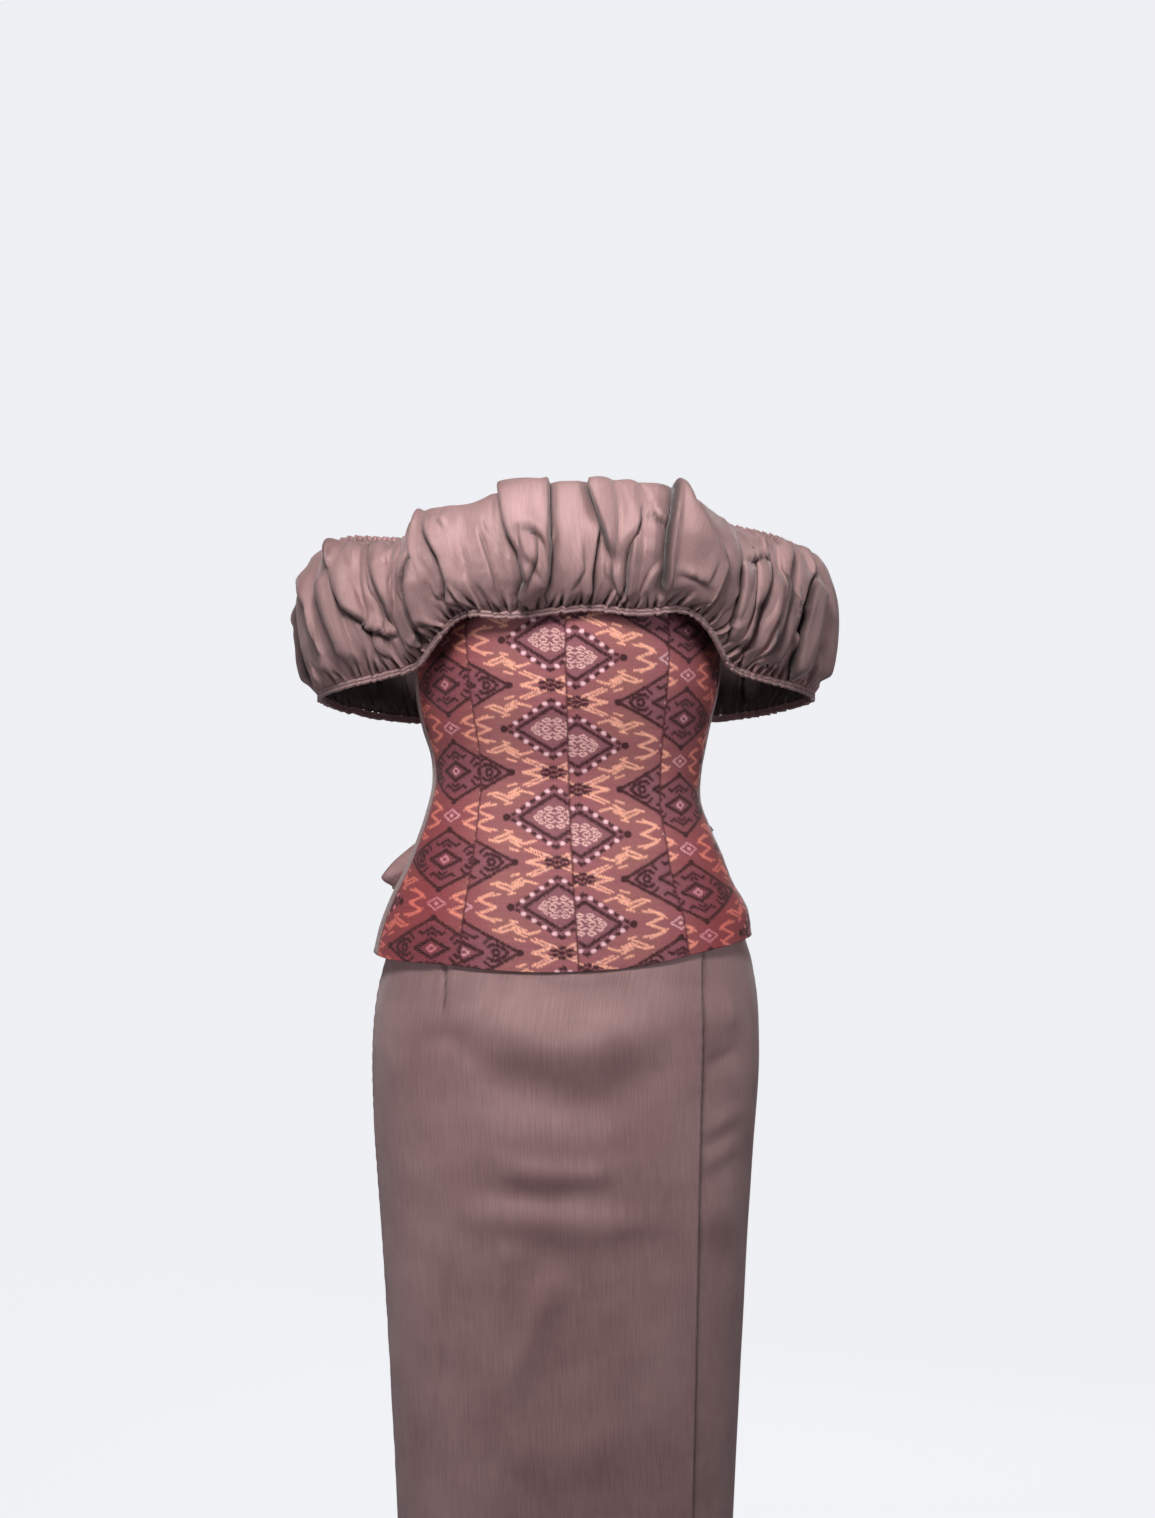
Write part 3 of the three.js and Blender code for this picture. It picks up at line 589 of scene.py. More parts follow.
# Round spots of the same quarter: the colour, the middle, and the half-width and half-height.
IKAT_SPOTS = [
    (BLACK, (42, 0), (3.6, 3.2)),
    (BLACK, (36.5, 39), (3.4, 3.0)),
    (BLACK, (86, 12.5), (3.2, 2.8)),
    (BLACK, (69.5, 39), (2.0, 1.8)),
    (BLACK, (86, 31), (2.0, 1.8)),
    (PINK, (86, 0), (2.2, 1.6)),
]
DOTS = 9                           # dark dashes and light dots in turn, along the diamond's side
DOTS_START = np.array((35.8, 2.6))
DOTS_STEP = np.array((-4.31, 2.86))
HALF_DASH = np.array((0.9, -0.6))
DIAMOND_REACH = (41, 28)           # half-width and half-height of the dotted diamond
MAZE_REACH = (50, 27)              # and of the scrolled one
WARM_MIDDLE = (44, 19)             # between the diamonds, where the ground is warmer
WARM_REACH = (20, 12)
TWIST_PITCH = 2.7                  # of the dyed lines
TWIST_SWAY = 0.45                  # how far they wind to each side
TWIST_SWELL = 0.4                  # share of their width by which they swell and shrink
THREAD_SLIP = 0.32                 # how far the threads have slipped past each other in dyeing
DYE_EDGE = 0.5                     # over which a line's dye fades out
SPOT_EDGE = 0.6                    # and a spot's
DASH_WIDTH = 3.1
DOT_REACH = (2.3, 1.8)
WARM_SHARE = 0.55                  # of the warmer ground, at its middle
GREY_SHARE = 0.6                   # of the greyer ground, inside the diamonds
GRAIN = 0.06                       # unevenness of the dye from point to point
STREAKS = 0.05                     # and from thread to thread
IKAT_CLOTH = ikat_cloth()


def rgb(colour):
    return np.array(colour[:3])


def segment_mask(x, y, start, end, width):
    """How far a point is covered by a dyed line, which winds and swells like a twisted cord."""
    run = np.subtract(end, start)
    length = math.hypot(*run)
    run = run / length
    along = (x - start[0]) * run[0] + (y - start[1]) * run[1]
    across = (x - start[0]) * run[1] - (y - start[1]) * run[0]
    past = along - np.clip(along, 0, length)
    turn = 2 * math.pi * along / TWIST_PITCH
    away = np.hypot(across - TWIST_SWAY * np.sin(turn), past)
    half = width / 2 * (1 + TWIST_SWELL * np.sin(2 * turn + 1))
    return np.clip((half - away) / DYE_EDGE + 0.5, 0, 1)


def spot_mask(x, y, middle, reach):
    away = np.hypot((x - middle[0]) / reach[0], (y - middle[1]) / reach[1])
    return np.clip((1 - away) * min(reach) / SPOT_EDGE + 0.5, 0, 1)


def lozenge_mask(x, y, reach):
    """How far a point lies inside a diamond round a corner of the quarter, which fades in over
    the outer sixth of it."""
    return np.clip((1 - x / reach[0] - y / reach[1]) * 6, 0, 1)


def mirrored(place, half):
    """A place along the repeat, as its distance from the nearest middle of a repeat."""
    return np.abs((place + half) % (2 * half) - half)


def ikat_colours(x, y, seed):
    """Colours of the cloth at places given in millimetres from the middle of a dotted diamond."""
    draw = np.random.default_rng(seed)
    threads = np.arange(-400, 400)
    x = mirrored(x + np.interp(y, threads, draw.normal(0, THREAD_SLIP, threads.size)), REPEAT[0])
    y = mirrored(y, REPEAT[1])
    colours = np.tile(rgb(GROUND), (*x.shape, 1))

    def dye(colour, mask):
        colours[:] += (rgb(colour) - colours) * mask[..., None]

    warm = bell(x - WARM_MIDDLE[0], WARM_REACH[0]) * bell(y - WARM_MIDDLE[1], WARM_REACH[1])
    dye(GROUND_WARM, np.clip(warm, 0, 1) * WARM_SHARE)
    inside_maze = lozenge_mask(REPEAT[0] - x, REPEAT[1] - y, MAZE_REACH)
    dye(GROUND_GREY, np.maximum(inside_maze, lozenge_mask(x, y, DIAMOND_REACH)) * GREY_SHARE)
    for index in range(DOTS):
        middle = DOTS_START + DOTS_STEP * index
        if index % 2 == 0:
            dye(BLACK, segment_mask(x, y, middle - HALF_DASH, middle + HALF_DASH, DASH_WIDTH))
        else:
            dye(PINK, spot_mask(x, y, middle, DOT_REACH))
    for colour, width, corners in IKAT_LINES:
        for start, end in zip(corners, corners[1:]):
            dye(colour, segment_mask(x, y, start, end, width))
    for colour, middle, reach in IKAT_SPOTS:
        dye(colour, spot_mask(x, y, middle, reach))
    streaks = np.interp(y, threads, draw.normal(0, 1, threads.size))
    grain = 1 + GRAIN * draw.normal(0, 1, x.shape) + STREAKS * streaks
    return colours * grain[..., None]


def add_dye(piece, colours, step):
    """Keeps a colour at each point of the outer side, and a darker one at the inner side's."""
    layer = piece.data.color_attributes.new(name="dye", type="FLOAT_COLOR", domain="POINT")
    lining = colours[::step, ::step] * INSIDE_TONE
    values = np.concatenate([colours.reshape(-1, 3), lining.reshape(-1, 3)])
    layer.data.foreach_set("color", np.insert(values, 3, 1, axis=1).astype(np.float32).ravel())


# Each panel: the seam that its pattern is placed from (its first or last column), how far from it
# a column of the pattern stands, and the height of a row, in millimetres.
FRONT_PANELS = {
    "bodice_side_front_right": {
        "seam": -1, "across": -28 - REPEAT[0], "up": 12.8 - REPEAT[1], "flat": (0.105, 0.40)
    },
    "bodice_front_right": {"seam": -1, "across": -13, "up": 51, "flat": (0.12, 0.43)},
    "bodice_front_left": {"seam": 0, "across": 8, "up": 36, "flat": (0.12, 0.43)},
    "bodice_side_front_left": {
        "seam": 0, "across": 23 + REPEAT[0], "up": -17.2 - REPEAT[1], "flat": (0.105, 0.40)
    },
}
PANEL_FINE = (36, 20)              # points to each of the solid's, down and across
PANEL_STEP = 4                     # the outer side's points to each of the inner side's
PANEL_CLOTH = 0.0011
INSIDE_TONE = 0.8
SEAM_GAP = 0.00026                 # left between the solids of panels that are sewn together
SEAM_WIDTH = 0.0022
SEAM_LINE = 0.0011                 # width of the dark line that a seam shows
SEAM_SHARE = 0.85                  # of the dark colour in it
PUCKER_PITCH = 0.0115
PUCKER_REACH = 0.007
SIDES_START = 0.07                 # how far out the cloth begins to turn redder
SIDES_REACH = 0.055                # and over how far it goes on turning
SIDES_RED = 0.8                    # how far it turns to the redder ground
SIDES_SHADE = 0.12                  # and how much darker it gets, as painted shade


def meet(outer, first=True, last=True):
    """Carries a panel's sewn edges over half of the gap to the next panel's."""
    outer = outer.copy()
    if first:
        outer[:, 0] += unit(outer[:, 0] - outer[:, 1]) * SEAM_GAP / 2
    if last:
        outer[:, -1] += unit(outer[:, -1] - outer[:, -2]) * SEAM_GAP / 2
    return outer


def wavering(run, pitch, sway, sway_length, phase=0.0):
    """A wave along a length, from -1 to 1, whose pitch wanders."""
    return np.sin(run / pitch * 2 * math.pi + phase + sway * np.sin(run / sway_length))


def sewn_edges(outer, seam_depth, pucker, first=True, last=True):
    """Sinks a panel's sewn edges a little and puckers the cloth beside them."""
    away_first = run_length(outer, 1)
    away_last = away_first[:, -1:] - away_first
    height = outer[..., 2]
    for sewn, away, phase in ((first, away_first, 0.0), (last, away_last, 1.7)):
        if sewn:
            wave = pucker * wavering(height, PUCKER_PITCH, 1.3, 0.04, phase)
            wave = wave * np.exp(-away / PUCKER_REACH) * (1 - bell(away, 0.0015))
            outer = lifted(outer, wave - seam_depth * bell(away, SEAM_WIDTH))
    return outer


def places_from_seam(outer, seam):
    """Places on a panel in millimetres: across from one of its seams, and up from the waist."""
    across = run_length(outer * (1, 1, 0), 1)
    column = outer[:, seam]
    run = run_length(column[:, None], 0)[:, 0]
    up = np.interp(0, -column[:, 2], run) - np.interp(-outer[..., 2], -column[:, 2], run)
    return (across - across[:, seam, None]) * TO_MM, up * TO_MM


def panel_colours(outer, x, y, seed):
    """The pattern on a panel: redder towards the sides and darker there as painted shade, and dark
    along its seams.
    """
    colours = ikat_colours(x, y, seed)
    sides = np.clip((np.abs(outer[..., :1]) - SIDES_START) / SIDES_REACH, 0, 1)
    redder = rgb(GROUND_RED) / rgb(GROUND)
    colours = colours * (1 + (redder - 1) * SIDES_RED * sides) * (1 - SIDES_SHADE * sides)
    edge = np.minimum(run_length(outer, 1), run_back(outer))
    seam = bell(edge, SEAM_LINE)[..., None] * SEAM_SHARE
    return colours + (rgb(SEAM_RED) - colours) * seam


for seed, (name, panel) in enumerate(FRONT_PANELS.items()):
    outer = fine_panel(name, *PANEL_FINE)
    across, up = places_from_seam(outer, panel["seam"])
    outer = meet(sewn_edges(outer, seam_depth=0.0005, pucker=0.0003))
    colours = panel_colours(outer, across - panel["across"], up - panel["up"], seed)
    piece = cloth_shell(name + "_cloth", outer, PANEL_CLOTH, PANEL_STEP)
    add_dye(piece, colours, PANEL_STEP)
    wear(piece, IKAT_CLOTH, "patterned_cloth", name)

# ---------------------------------------------------------------- blouse, back
# Two plain panels of the skirt's satin, from the side seams to a seam down the middle of the
# back. They are cut to the waist's curve and sewn edge to edge.

WRONG_SIDE_SHADE_TONE = 0.25             # of the satin's inner side against its right side: partly its dull wrong side, and partly painted shade for the inside of the ruffle and the other pieces
CREASE_SHADE_TONE = 0.08                 # painted shade: how dark the satin is made down in a sharp crease
BACK_FINE = (10, 8)                # points to each of the solid's, down and across
SATIN_CLOTH = 0.001


def satin(name, dark, light, roughness, size):
    """Smooth heavy satin. Its tone wanders broadly, and small dents catch the light. Its inner side is
    darker, partly as its dull wrong side and partly as painted shade, and its creases are darker as
    painted shade.
    """
    material, shader = new_material(name)
    nodes = Nodes(material.node_tree)
    axes = nodes.add("ShaderNodeSeparateXYZ", i0=nodes.cut()).outputs
    turned = nodes.add("ShaderNodeCombineXYZ", X=axes[1], Y=axes[0]).outputs[0]
    weave = nodes.group(WEAVE, Place=turned, Threads=1100.0, Slub=0.8)
    place = nodes.add("ShaderNodeTexCoord").outputs["Object"]
    rumple = nodes.group(RUMPLE, Place=place, Size=size)
    tone = nodes.ranged(weave["Streaks"], 0.35, 0.65, 0.9, 1.07)
    # Both masks darken the colour: the inner side partly as the satin's dull wrong side and partly as
    # painted shade, and creases and grooves as painted shade.
    for mask, darkest in (("wrong_side", WRONG_SIDE_SHADE_TONE), ("crease_shade", CREASE_SHADE_TONE)):
        darker = nodes.ranged(nodes.stored(mask), to_low=1.0, to_high=darkest)
        tone = nodes.math("MULTIPLY", tone, darker)
    colour = nodes.mixed(rumple["Tone"], dark, light)
    nodes.feed(shader.inputs["Base Color"], nodes.vector("SCALE", colour, Scale=tone))
    gloss = nodes.ranged(rumple["Dents"], 0.3, 0.7, roughness - 0.05, roughness + 0.07)
    facing = nodes.add("ShaderNodeLayerWeight").outputs["Facing"]
    duller = nodes.ranged(facing, 0.7, 1.0, 0.0, 0.35)
    nodes.feed(shader.inputs["Roughness"], nodes.math("ADD", gloss, duller))
    dents = nodes.bump(rumple["Dents"], 0.15, 0.0012)
    nodes.feed(shader.inputs["Normal"], nodes.bump(weave["Height"], 0.4, 0.0004, Normal=dents))
    set_finish(shader, Metallic=0.28, Specular_IOR_Level=0.5, Sheen_Weight=0.25, Sheen_Roughness=0.4)
    return material


SATIN = satin("mauve_satin", srgb(142, 109, 109), srgb(159, 126, 125), roughness=0.5, size=0.06)

for name in ("bodice_back_left", "bodice_back_right"):
    outer = fine_panel(name, *BACK_FINE)
    outer = meet(sewn_edges(outer, seam_depth=0.0006, pucker=0.0005))
    piece = cloth_shell(name + "_cloth", outer, SATIN_CLOTH, 2)
    wear(piece, SATIN, "satin", name)

# ---------------------------------------------------------------- shoulder ruffle
# A full ring of satin round the chest, the outside of both arms and the back. It is gathered into
# a casing along its top edge and into a binding along its foot, and puffs out between them.

RUFFLE_FLATS = {
    "ruffle_right": (0.36, 0.15),
    "ruffle_front": (0.46, 0.15),
    "ruffle_left": (0.42, 0.15),
    "ruffle_back": (0.52, 0.15),
}
RUFFLE_FINE = (12, 14)             # points to each of the solids', down and across
RUFFLE_CLOTH = 0.0013
FOLD_COLUMNS = 3                   # columns of the solids to each fold
FOLDS_KEPT = 0.3                   # share of the solids' folds left under the pressed ones
FOLD_ENDS = 0.014                  # over which a fold fades out
FOLD_DEPTH = 1.3                   # by which all of the folds stand higher than listed
FOLD_LAP = 0.6                     # share of a fold's height that it laps over the cloth beside it
FOLD_EDGE = 0.0007                 # over which a fold's edge turns down
FOLD_GROOVE = 0.0022               # width of the groove on its low side
FOLD_SHADE_HEIGHT = 0.008                  # height from which on the groove gets its full painted shade
HELD_TOP = 0.036                   # how far down the casing holds the folds flatter
HELD_FOOT = 0.018                  # and how far up the binding does
HELD_SHARE = 0.25                  # of a fold's height that is left at those edges
RUFFLE_UNEVEN = 0.0012


def ring_rows(names):
    """The panels' outer points as one ring, and the column that each panel starts at."""
    panels = [cloth_rows(name) for name in names]
    starts = np.cumsum([0] + [panel.shape[1] - 1 for panel in panels])
    joined = np.concatenate([panel[:, :-1] for panel in panels], axis=1)
    for index, start in enumerate(starts[:-1]):
        joined[:, start] = (panels[index][:, 0] + panels[index - 1][:, -1]) / 2
    return joined, starts


def finer_ring(points, times):
    """As finer, along the rows of a closed ring. The first column comes again at the end."""
    lap = 3
    padded = np.concatenate([points[:, -lap:], points, points[:, :lap + 1]], axis=1)
    fine = finer(padded, times, 1)
    return fine[:, lap * times:-lap * times]


def ring_normals(points):
    """As outward, for a ring whose last column is its first one again."""
    lap = 2
    wrapped = np.concatenate([points[:, -lap - 1:-1], points, points[:, 1:lap + 1]], axis=1)
    return outward(wrapped)[:, lap:-lap]


def ring_along(points):
    """Level directions to the right along a ring, seen from outside."""
    wrapped = np.concatenate([points[:, -2:-1], points, points[:, 1:2]], axis=1)
    return unit(wrapped[:, 2:] - wrapped[:, :-2])


def uneven(shape, cells, draw):
    """Smooth random unevenness over a grid, about -1 to 1, with so many cells down and across."""
    times = [-(-size // count) for size, count in zip(shape, cells)]
    values = draw.normal(0, 0.5, (cells[0] + 1, cells[1] + 1, 1))
    values[:, -1] = values[:, 0]
    return finer(finer(values, times[0], 0), times[1], 1)[:shape[0], :shape[1], 0]


# Folds that show from the front, as lines across (X) and up (Z) in millimetres, each from its top
# or its left end on: how far one side stands over the other (above zero, the left side of a
# viewer or the lower one), and how far its swelling reaches.
FOLDS = [
    (-7.0, 24, [(-132, 236), (-139, 195), (-146, 166), (-145, 148), (-137, 124)]),
    (-6.0, 26, [(-128, 230), (-117, 193), (-111, 173), (-107, 149)]),
    (-3.5, 14, [(-110, 171), (-101, 159), (-92, 148)]),
    (2.5, 22, [(-90, 217), (-85, 202), (-79, 185), (-72, 158)]),
    (3.0, 8, [(-74, 163), (-68, 146)]),
    (-7.5, 26, [(-65, 254), (-63, 227), (-59, 210), (-51, 193), (-48, 176), (-51, 151)]),
    (-4.5, 11, [(-59, 213), (-53, 217), (-45, 216), (-37, 210), (-30, 199)]),
    (3.5, 9, [(-42, 213), (-43, 188), (-47, 165)]),
    (6.5, 24, [(-31, 252), (-31, 227), (-30, 202), (-31, 180), (-35, 159)]),
    (3.0, 8, [(-24, 215), (-27, 198), (-30, 190)]),
    (-3.0, 8, [(-34, 166), (-25, 151)]),
    (-6.0, 24, [(9, 251), (15, 227), (21, 209), (25, 190)]),
    (-3.5, 12, [(24, 192), (27, 176), (36, 154)]),
    (5.0, 24, [(14, 227), (7, 202), (4, 179), (5, 156)]),
    (4.0, 10, [(53, 240), (47, 229), (44, 217), (42, 203)]),
    (-5.0, 20, [(44, 215), (40, 185), (39, 156)]),
    (-4.5, 11, [(49, 228), (60, 231), (70, 226), (79, 218)]),
    (-2.5, 10, [(70, 193), (57, 180), (48, 158)]),
    (-7.5, 32, [(79, 247), (76, 222), (74, 193), (71, 159)]),
    (8.0, 32, [(85, 251), (93, 237), (107, 217), (117, 202), (120, 192), (114, 175), (101, 151)]),
    (-3.5, 9, [(77, 182), (90, 181), (98, 177), (107, 171)]),
    (-6.8, 14, [(-232, 192), (-235, 171), (-229, 155), (-224, 136), (-216, 119), (-211, 92)]),
    (-5.4, 8, [(-208, 206), (-209, 192), (-216, 174)]),
    (-9.5, 18, [(-216, 187), (-216, 169), (-213, 157), (-207, 138), (-201, 125), (-195, 103)]),
    (-8.1, 11, [(-209, 203), (-202, 175), (-194, 153), (-176, 137), (-152, 129)]),
    (-6.1, 12, [(-174, 209), (-171, 184), (-163, 158), (-156, 136)]),
    (-4.7, 8, [(-177, 136), (-168, 119), (-160, 108)]),
    (9.5, 18, [(-147, 201), (-148, 171), (-147, 152), (-142, 134), (-134, 113)]),
    (-6.8, 14, [(-141, 187), (-140, 162), (-135, 143), (-124, 125)]),
    (-5.4, 10, [(145, 198), (159, 201), (174, 203)]),
    (5.4, 10, [(162, 227), (168, 213), (174, 202)]),
    (-4.7, 12, [(145, 197), (144, 171), (138, 147), (129, 120)]),
    (8.1, 16, [(173, 203), (164, 185), (155, 157), (141, 118)]),
    (9.5, 20, [(184, 187), (179, 164), (173, 142), (163, 111)]),
    (6.1, 10, [(192, 216), (187, 187), (184, 161)]),
    (10.1, 18, [(203, 175), (192, 156), (181, 134), (169, 104)]),
    (6.8, 7, [(193, 141), (198, 129), (203, 114)]),
    (5.4, 8, [(212, 211), (216, 188), (211, 175)]),
    (-11.5, 20, [(220, 187), (211, 157), (205, 129), (194, 92)]),
    (-5.4, 12, [(230, 131), (219, 117), (211, 97)]),
]


def smooth_ring(points):
    """The ring with its folds levelled out, and a little of the solids' round folds kept."""
    columns = FOLD_COLUMNS * RUFFLE_FINE[1]
    open_ring = points[:, :-1]
    lap = columns // 2
    padded = np.concatenate([open_ring[:, -lap:], open_ring, open_ring[:, :lap]], axis=1)
    sums = np.insert(np.cumsum(padded, axis=1), 0, 0, axis=1)
    smooth = (sums[:, columns:] - sums[:, :-columns]) / columns
    smooth = np.concatenate([smooth[:, :open_ring.shape[1]], smooth[:, :1]], axis=1)
    return smooth + (points - smooth) * FOLDS_KEPT


def ring_lengths(points):
    """The mean distances along the ring to its columns, and down it to its rows."""
    return run_length(points, 1).mean(axis=0), run_length(points, 0).mean(axis=1)


def seen_from_front(points):
    """Where the ring faces forward and lies in front of the arms' far side."""
    return (ring_normals(points)[..., 1] < 0.1) & (points[..., 1] < 0.03)


def on_ring(points, line):
    """The places along and down the ring of a line that is seen from the front. A line that
    starts where the cloth turns over its top is carried on up to the casing."""
    hidden = ~seen_from_front(points)
    along, down = ring_lengths(points)
    places = []
    for x, z in line:
        away = np.hypot(points[..., 0] - x * FROM_MM, points[..., 2] - z * FROM_MM) + hidden
        row, column = np.unravel_index(np.argmin(away), away.shape)
        if not places and ring_normals(points)[row, column, 2] > 0.6:
            places.append((along[column], max(down[row] - 0.02, 0.002)))
        places.append((along[column], down[row]))
    return places


def hidden_folds(points):
    """Folds like those of the front for the sides and back, where none is seen."""
    draw = np.random.default_rng(12)
    along, down = ring_lengths(points)
    hidden = ~seen_from_front(points)[points.shape[0] // 2]
    depths = [0.006, 0.3 * down[-1], 0.65 * down[-1], down[-1] - 0.006]
    folds = []
    turn = 1
    s = 0.03
    while s < along[-1] - 0.03:
        if hidden[np.searchsorted(along, s)]:
            places = [s + draw.uniform(-0.006, 0.006) for depth in depths]
            places[3] = s + 0.6 * (places[2] - s)
            turn = -turn if draw.uniform() < 0.6 else turn
            height = turn * draw.uniform(5.5, 8)
            folds.append((height, draw.uniform(18, 28), list(zip(places, depths))))
            if draw.uniform() < 0.35:
                t = draw.uniform(0.04, 0.08)
                hook = [(s - 0.003, t), (s + 0.008, t - 0.003), (s + 0.022, t + 0.009)]
                folds.append((-draw.uniform(3, 4.5), 10, hook))
        s += draw.uniform(0.021, 0.037)
    return folds


def small_folds(points, count, seed):
    """Slight creases scattered round the ring, mostly upright."""
    draw = np.random.default_rng(seed)
    along, down = ring_lengths(points)
    folds = []
    for index in range(count):
        s = 0.03 + (index + draw.uniform(0.1, 0.9)) / count * (along[-1] - 0.06)
        tall = draw.uniform(0.02, 0.05)
        t = draw.uniform(0.01, down[-1] - 0.01 - tall)
        lean = draw.uniform(-0.5, 0.5)
        bend = draw.uniform(-0.005, 0.005)
        line = [(s, t), (s + lean * tall / 2 + bend, t + tall / 2), (s + lean * tall, t + tall)]
        folds.append((draw.choice([-1, 1]) * draw.uniform(1, 2.2), draw.uniform(8, 13), line))
    return folds


def add_fold(rise, shift, crease_shade, along, down, height, reach, line):
    """Raises the cloth along one side of a line and lays it a little over the other side. The
    cloth falls away evenly from the line, so that what lies between two lines is flat. Painted
    shade is added along the line and in the groove on its low side."""
    side = np.sign(height)
    height = abs(height) * FOLD_DEPTH * FROM_MM
    reach = reach * FROM_MM
    corners = np.array(line)
    low_corner = corners.min(axis=0) - reach
    high_corner = corners.max(axis=0) + reach
    left, right = np.searchsorted(along, [low_corner[0], high_corner[0]])
    top, foot = np.searchsorted(down, [low_corner[1], high_corner[1]])
    patch = np.s_[top:foot, left:right]
    s, t = np.meshgrid(along[left:right], down[top:foot])
    nearest = np.full(s.shape, 9.0)
    away = np.zeros(s.shape)
    place = np.zeros(s.shape)
    over = np.zeros(s.shape + (2,))
    steps = np.diff(corners, axis=0)
    lengths = np.linalg.norm(steps, axis=1)
    passed = np.insert(np.cumsum(lengths), 0, 0)
    for index, (start, step, length) in enumerate(zip(corners, steps, lengths)):
        ahead = step / length
        run = np.clip((s - start[0]) * ahead[0] + (t - start[1]) * ahead[1], 0, length)
        gap = np.stack([s - start[0] - run * ahead[0], t - start[1] - run * ahead[1]])
        distance = np.hypot(*gap)
        closer = distance < nearest
        nearest = np.where(closer, distance, nearest)
        across = (gap[0] * ahead[1] - gap[1] * ahead[0]) * -side
        away = np.where(closer, np.sign(across) * distance, away)
        place = np.where(closer, passed[index] + run, place)
        over[closer] = np.array([ahead[1], -ahead[0]]) * side
    fade = np.clip(place / FOLD_ENDS, 0, 1) * np.clip((passed[-1] - place) / FOLD_ENDS, 0, 1)
    high = np.clip(1 - away / reach, 0, 1)
    low = -0.5 * np.clip(1 + away / (0.45 * reach), 0, 1)
    low -= 0.7 * np.exp(np.minimum(away, 0) / FOLD_GROOVE)
    edge = np.tanh(np.abs(away) / FOLD_EDGE)
    rise[patch] += np.where(away > 0, high, low) * edge * fade * height
    # Painted shade: darker along the fold's edge and in the groove on its low side.
    dark = np.where(away > 0, np.exp(-away / (0.2 * height)), np.exp(away / (0.65 * height)))
    dark = dark * fade * min(height / FOLD_SHADE_HEIGHT, 1)
    crease_shade[patch] = np.maximum(crease_shade[patch], dark)
    lay = np.where(away > 0, np.exp(-away / (0.3 * reach)), np.exp(-((away / 0.0008) ** 2)))
    shift[patch] += over * (lay * fade * height * FOLD_LAP)[..., None]


def edge_gathers(points, crease_shade, row, pitch, depth, reach, seed):
    """Small sharp gathers beside a gathered edge, uneven in pitch, depth and reach, with painted shade
    in their grooves.
    """
    draw = np.random.default_rng(seed)
    along = run_length(points, 1)[row]
    from_edge = run_length(points, 0)
    from_edge = np.abs(from_edge - from_edge[row])
    rise = np.zeros(points.shape[:2])
    place = 0.0
    while place < along[-1] - pitch:
        width = pitch * draw.uniform(0.16, 0.3)
        high = reach * draw.uniform(0.45, 1.6)
        deep = depth * draw.uniform(0.5, 1.3)
        lean = draw.uniform(-0.35, 0.35)
        away = along[None] - place - lean * from_edge
        spread = width + from_edge * 0.1
        groove = np.clip(1 - np.abs(away) / spread, 0, 1)
        ridge = np.clip(1 - np.abs(away - spread) / spread, 0, 1)
        start = np.clip(from_edge / 0.002, 0.35, 1)
        fade = start * np.clip(1 - from_edge / high, 0, 1)
        rise += (0.7 * ridge - groove) * deep * fade
        # Painted shade in each gather's groove.
        np.maximum(crease_shade, 0.8 * groove ** 2 * fade, out=crease_shade)
        place += pitch * draw.uniform(0.7, 1.4)
    return points + ring_normals(points) * rise[..., None]


def add_crease_shade(piece, crease_shade):
    """Keeps the painted shade of each point of a piece's right side, from 0 to 1, which darkens it
    where it lies down in a crease or groove.
    """
    values = np.zeros(len(piece.data.vertices))
    values[:crease_shade.size] = crease_shade.ravel()
    store(piece, "crease_shade", values)


ring, starts = ring_rows(RUFFLE_FLATS)
ring = smooth_ring(finer(finer_ring(ring, RUFFLE_FINE[1]), RUFFLE_FINE[0], 0))
draw = np.random.default_rng(8)
free = np.sin(np.linspace(0, math.pi, ring.shape[0]))[:, None]
rise = RUFFLE_UNEVEN * uneven(ring.shape[:2], (3, 70), draw) * free
shift = np.zeros(ring.shape[:2] + (2,))
# How much painted shade each point of the ring gets, in its creases and grooves.
crease_shade = np.zeros(ring.shape[:2])
along, down = ring_lengths(ring)
folds = [(height, reach, on_ring(ring, line)) for height, reach, line in FOLDS]
for fold in folds + hidden_folds(ring) + small_folds(ring, count=40, seed=5):
    add_fold(rise, shift, crease_shade, along, down, *fold)
rise = smoothed(rise, 1)
shift = smoothed(shift, 1)
from_edge = np.minimum(down, down[-1] - down)[:, None]
held_within = np.where(down < down[-1] / 2, HELD_TOP, HELD_FOOT)[:, None]
rise = rise * (HELD_SHARE + (1 - HELD_SHARE) * np.clip(from_edge / held_within, 0, 1))
ring = (
    ring
    + ring_normals(ring) * rise[..., None]
    + ring_along(ring) * shift[..., :1]
    + unit(np.gradient(ring, axis=0)) * shift[..., 1:] * np.clip(from_edge / 0.02, 0, 1)[..., None]
)
ring = edge_gathers(ring, crease_shade, row=-1, pitch=0.0085, depth=0.0052, reach=0.026, seed=21)
ring = edge_gathers(ring, crease_shade, row=0, pitch=0.0085, depth=0.0040, reach=0.020, seed=22)
closing = 2 * RUFFLE_FINE[1]       # the last columns, drawn round to meet the first one
share = (np.arange(1, closing + 1) / closing) ** 2
ring[:, -closing:] += (ring[:, :1] - ring[:, -1:]) * share[:, None]

for index, (name, flat) in enumerate(RUFFLE_FLATS.items()):
    columns = slice(starts[index] * RUFFLE_FINE[1], starts[index + 1] * RUFFLE_FINE[1] + 1)
    piece = cloth_shell(name + "_cloth", ring[:, columns], RUFFLE_CLOTH, 2)
    add_crease_shade(piece, crease_shade[:, columns])
    wear(piece, SATIN, "satin", name)

# ---------------------------------------------------------------- casing and binding
# Two narrow strips of the satin. The casing holds elastic along the ruffle's top edge. The
# binding is folded over the gathers of its foot and stitched along its middle, which leaves two
# round rolls with a groove between them.

BAND_WALL = 0.0005
BAND_COLUMNS = 3                   # the ruffle's columns to each point along them
SECTION_STEP = 0.002               # from one corner of a section to the next


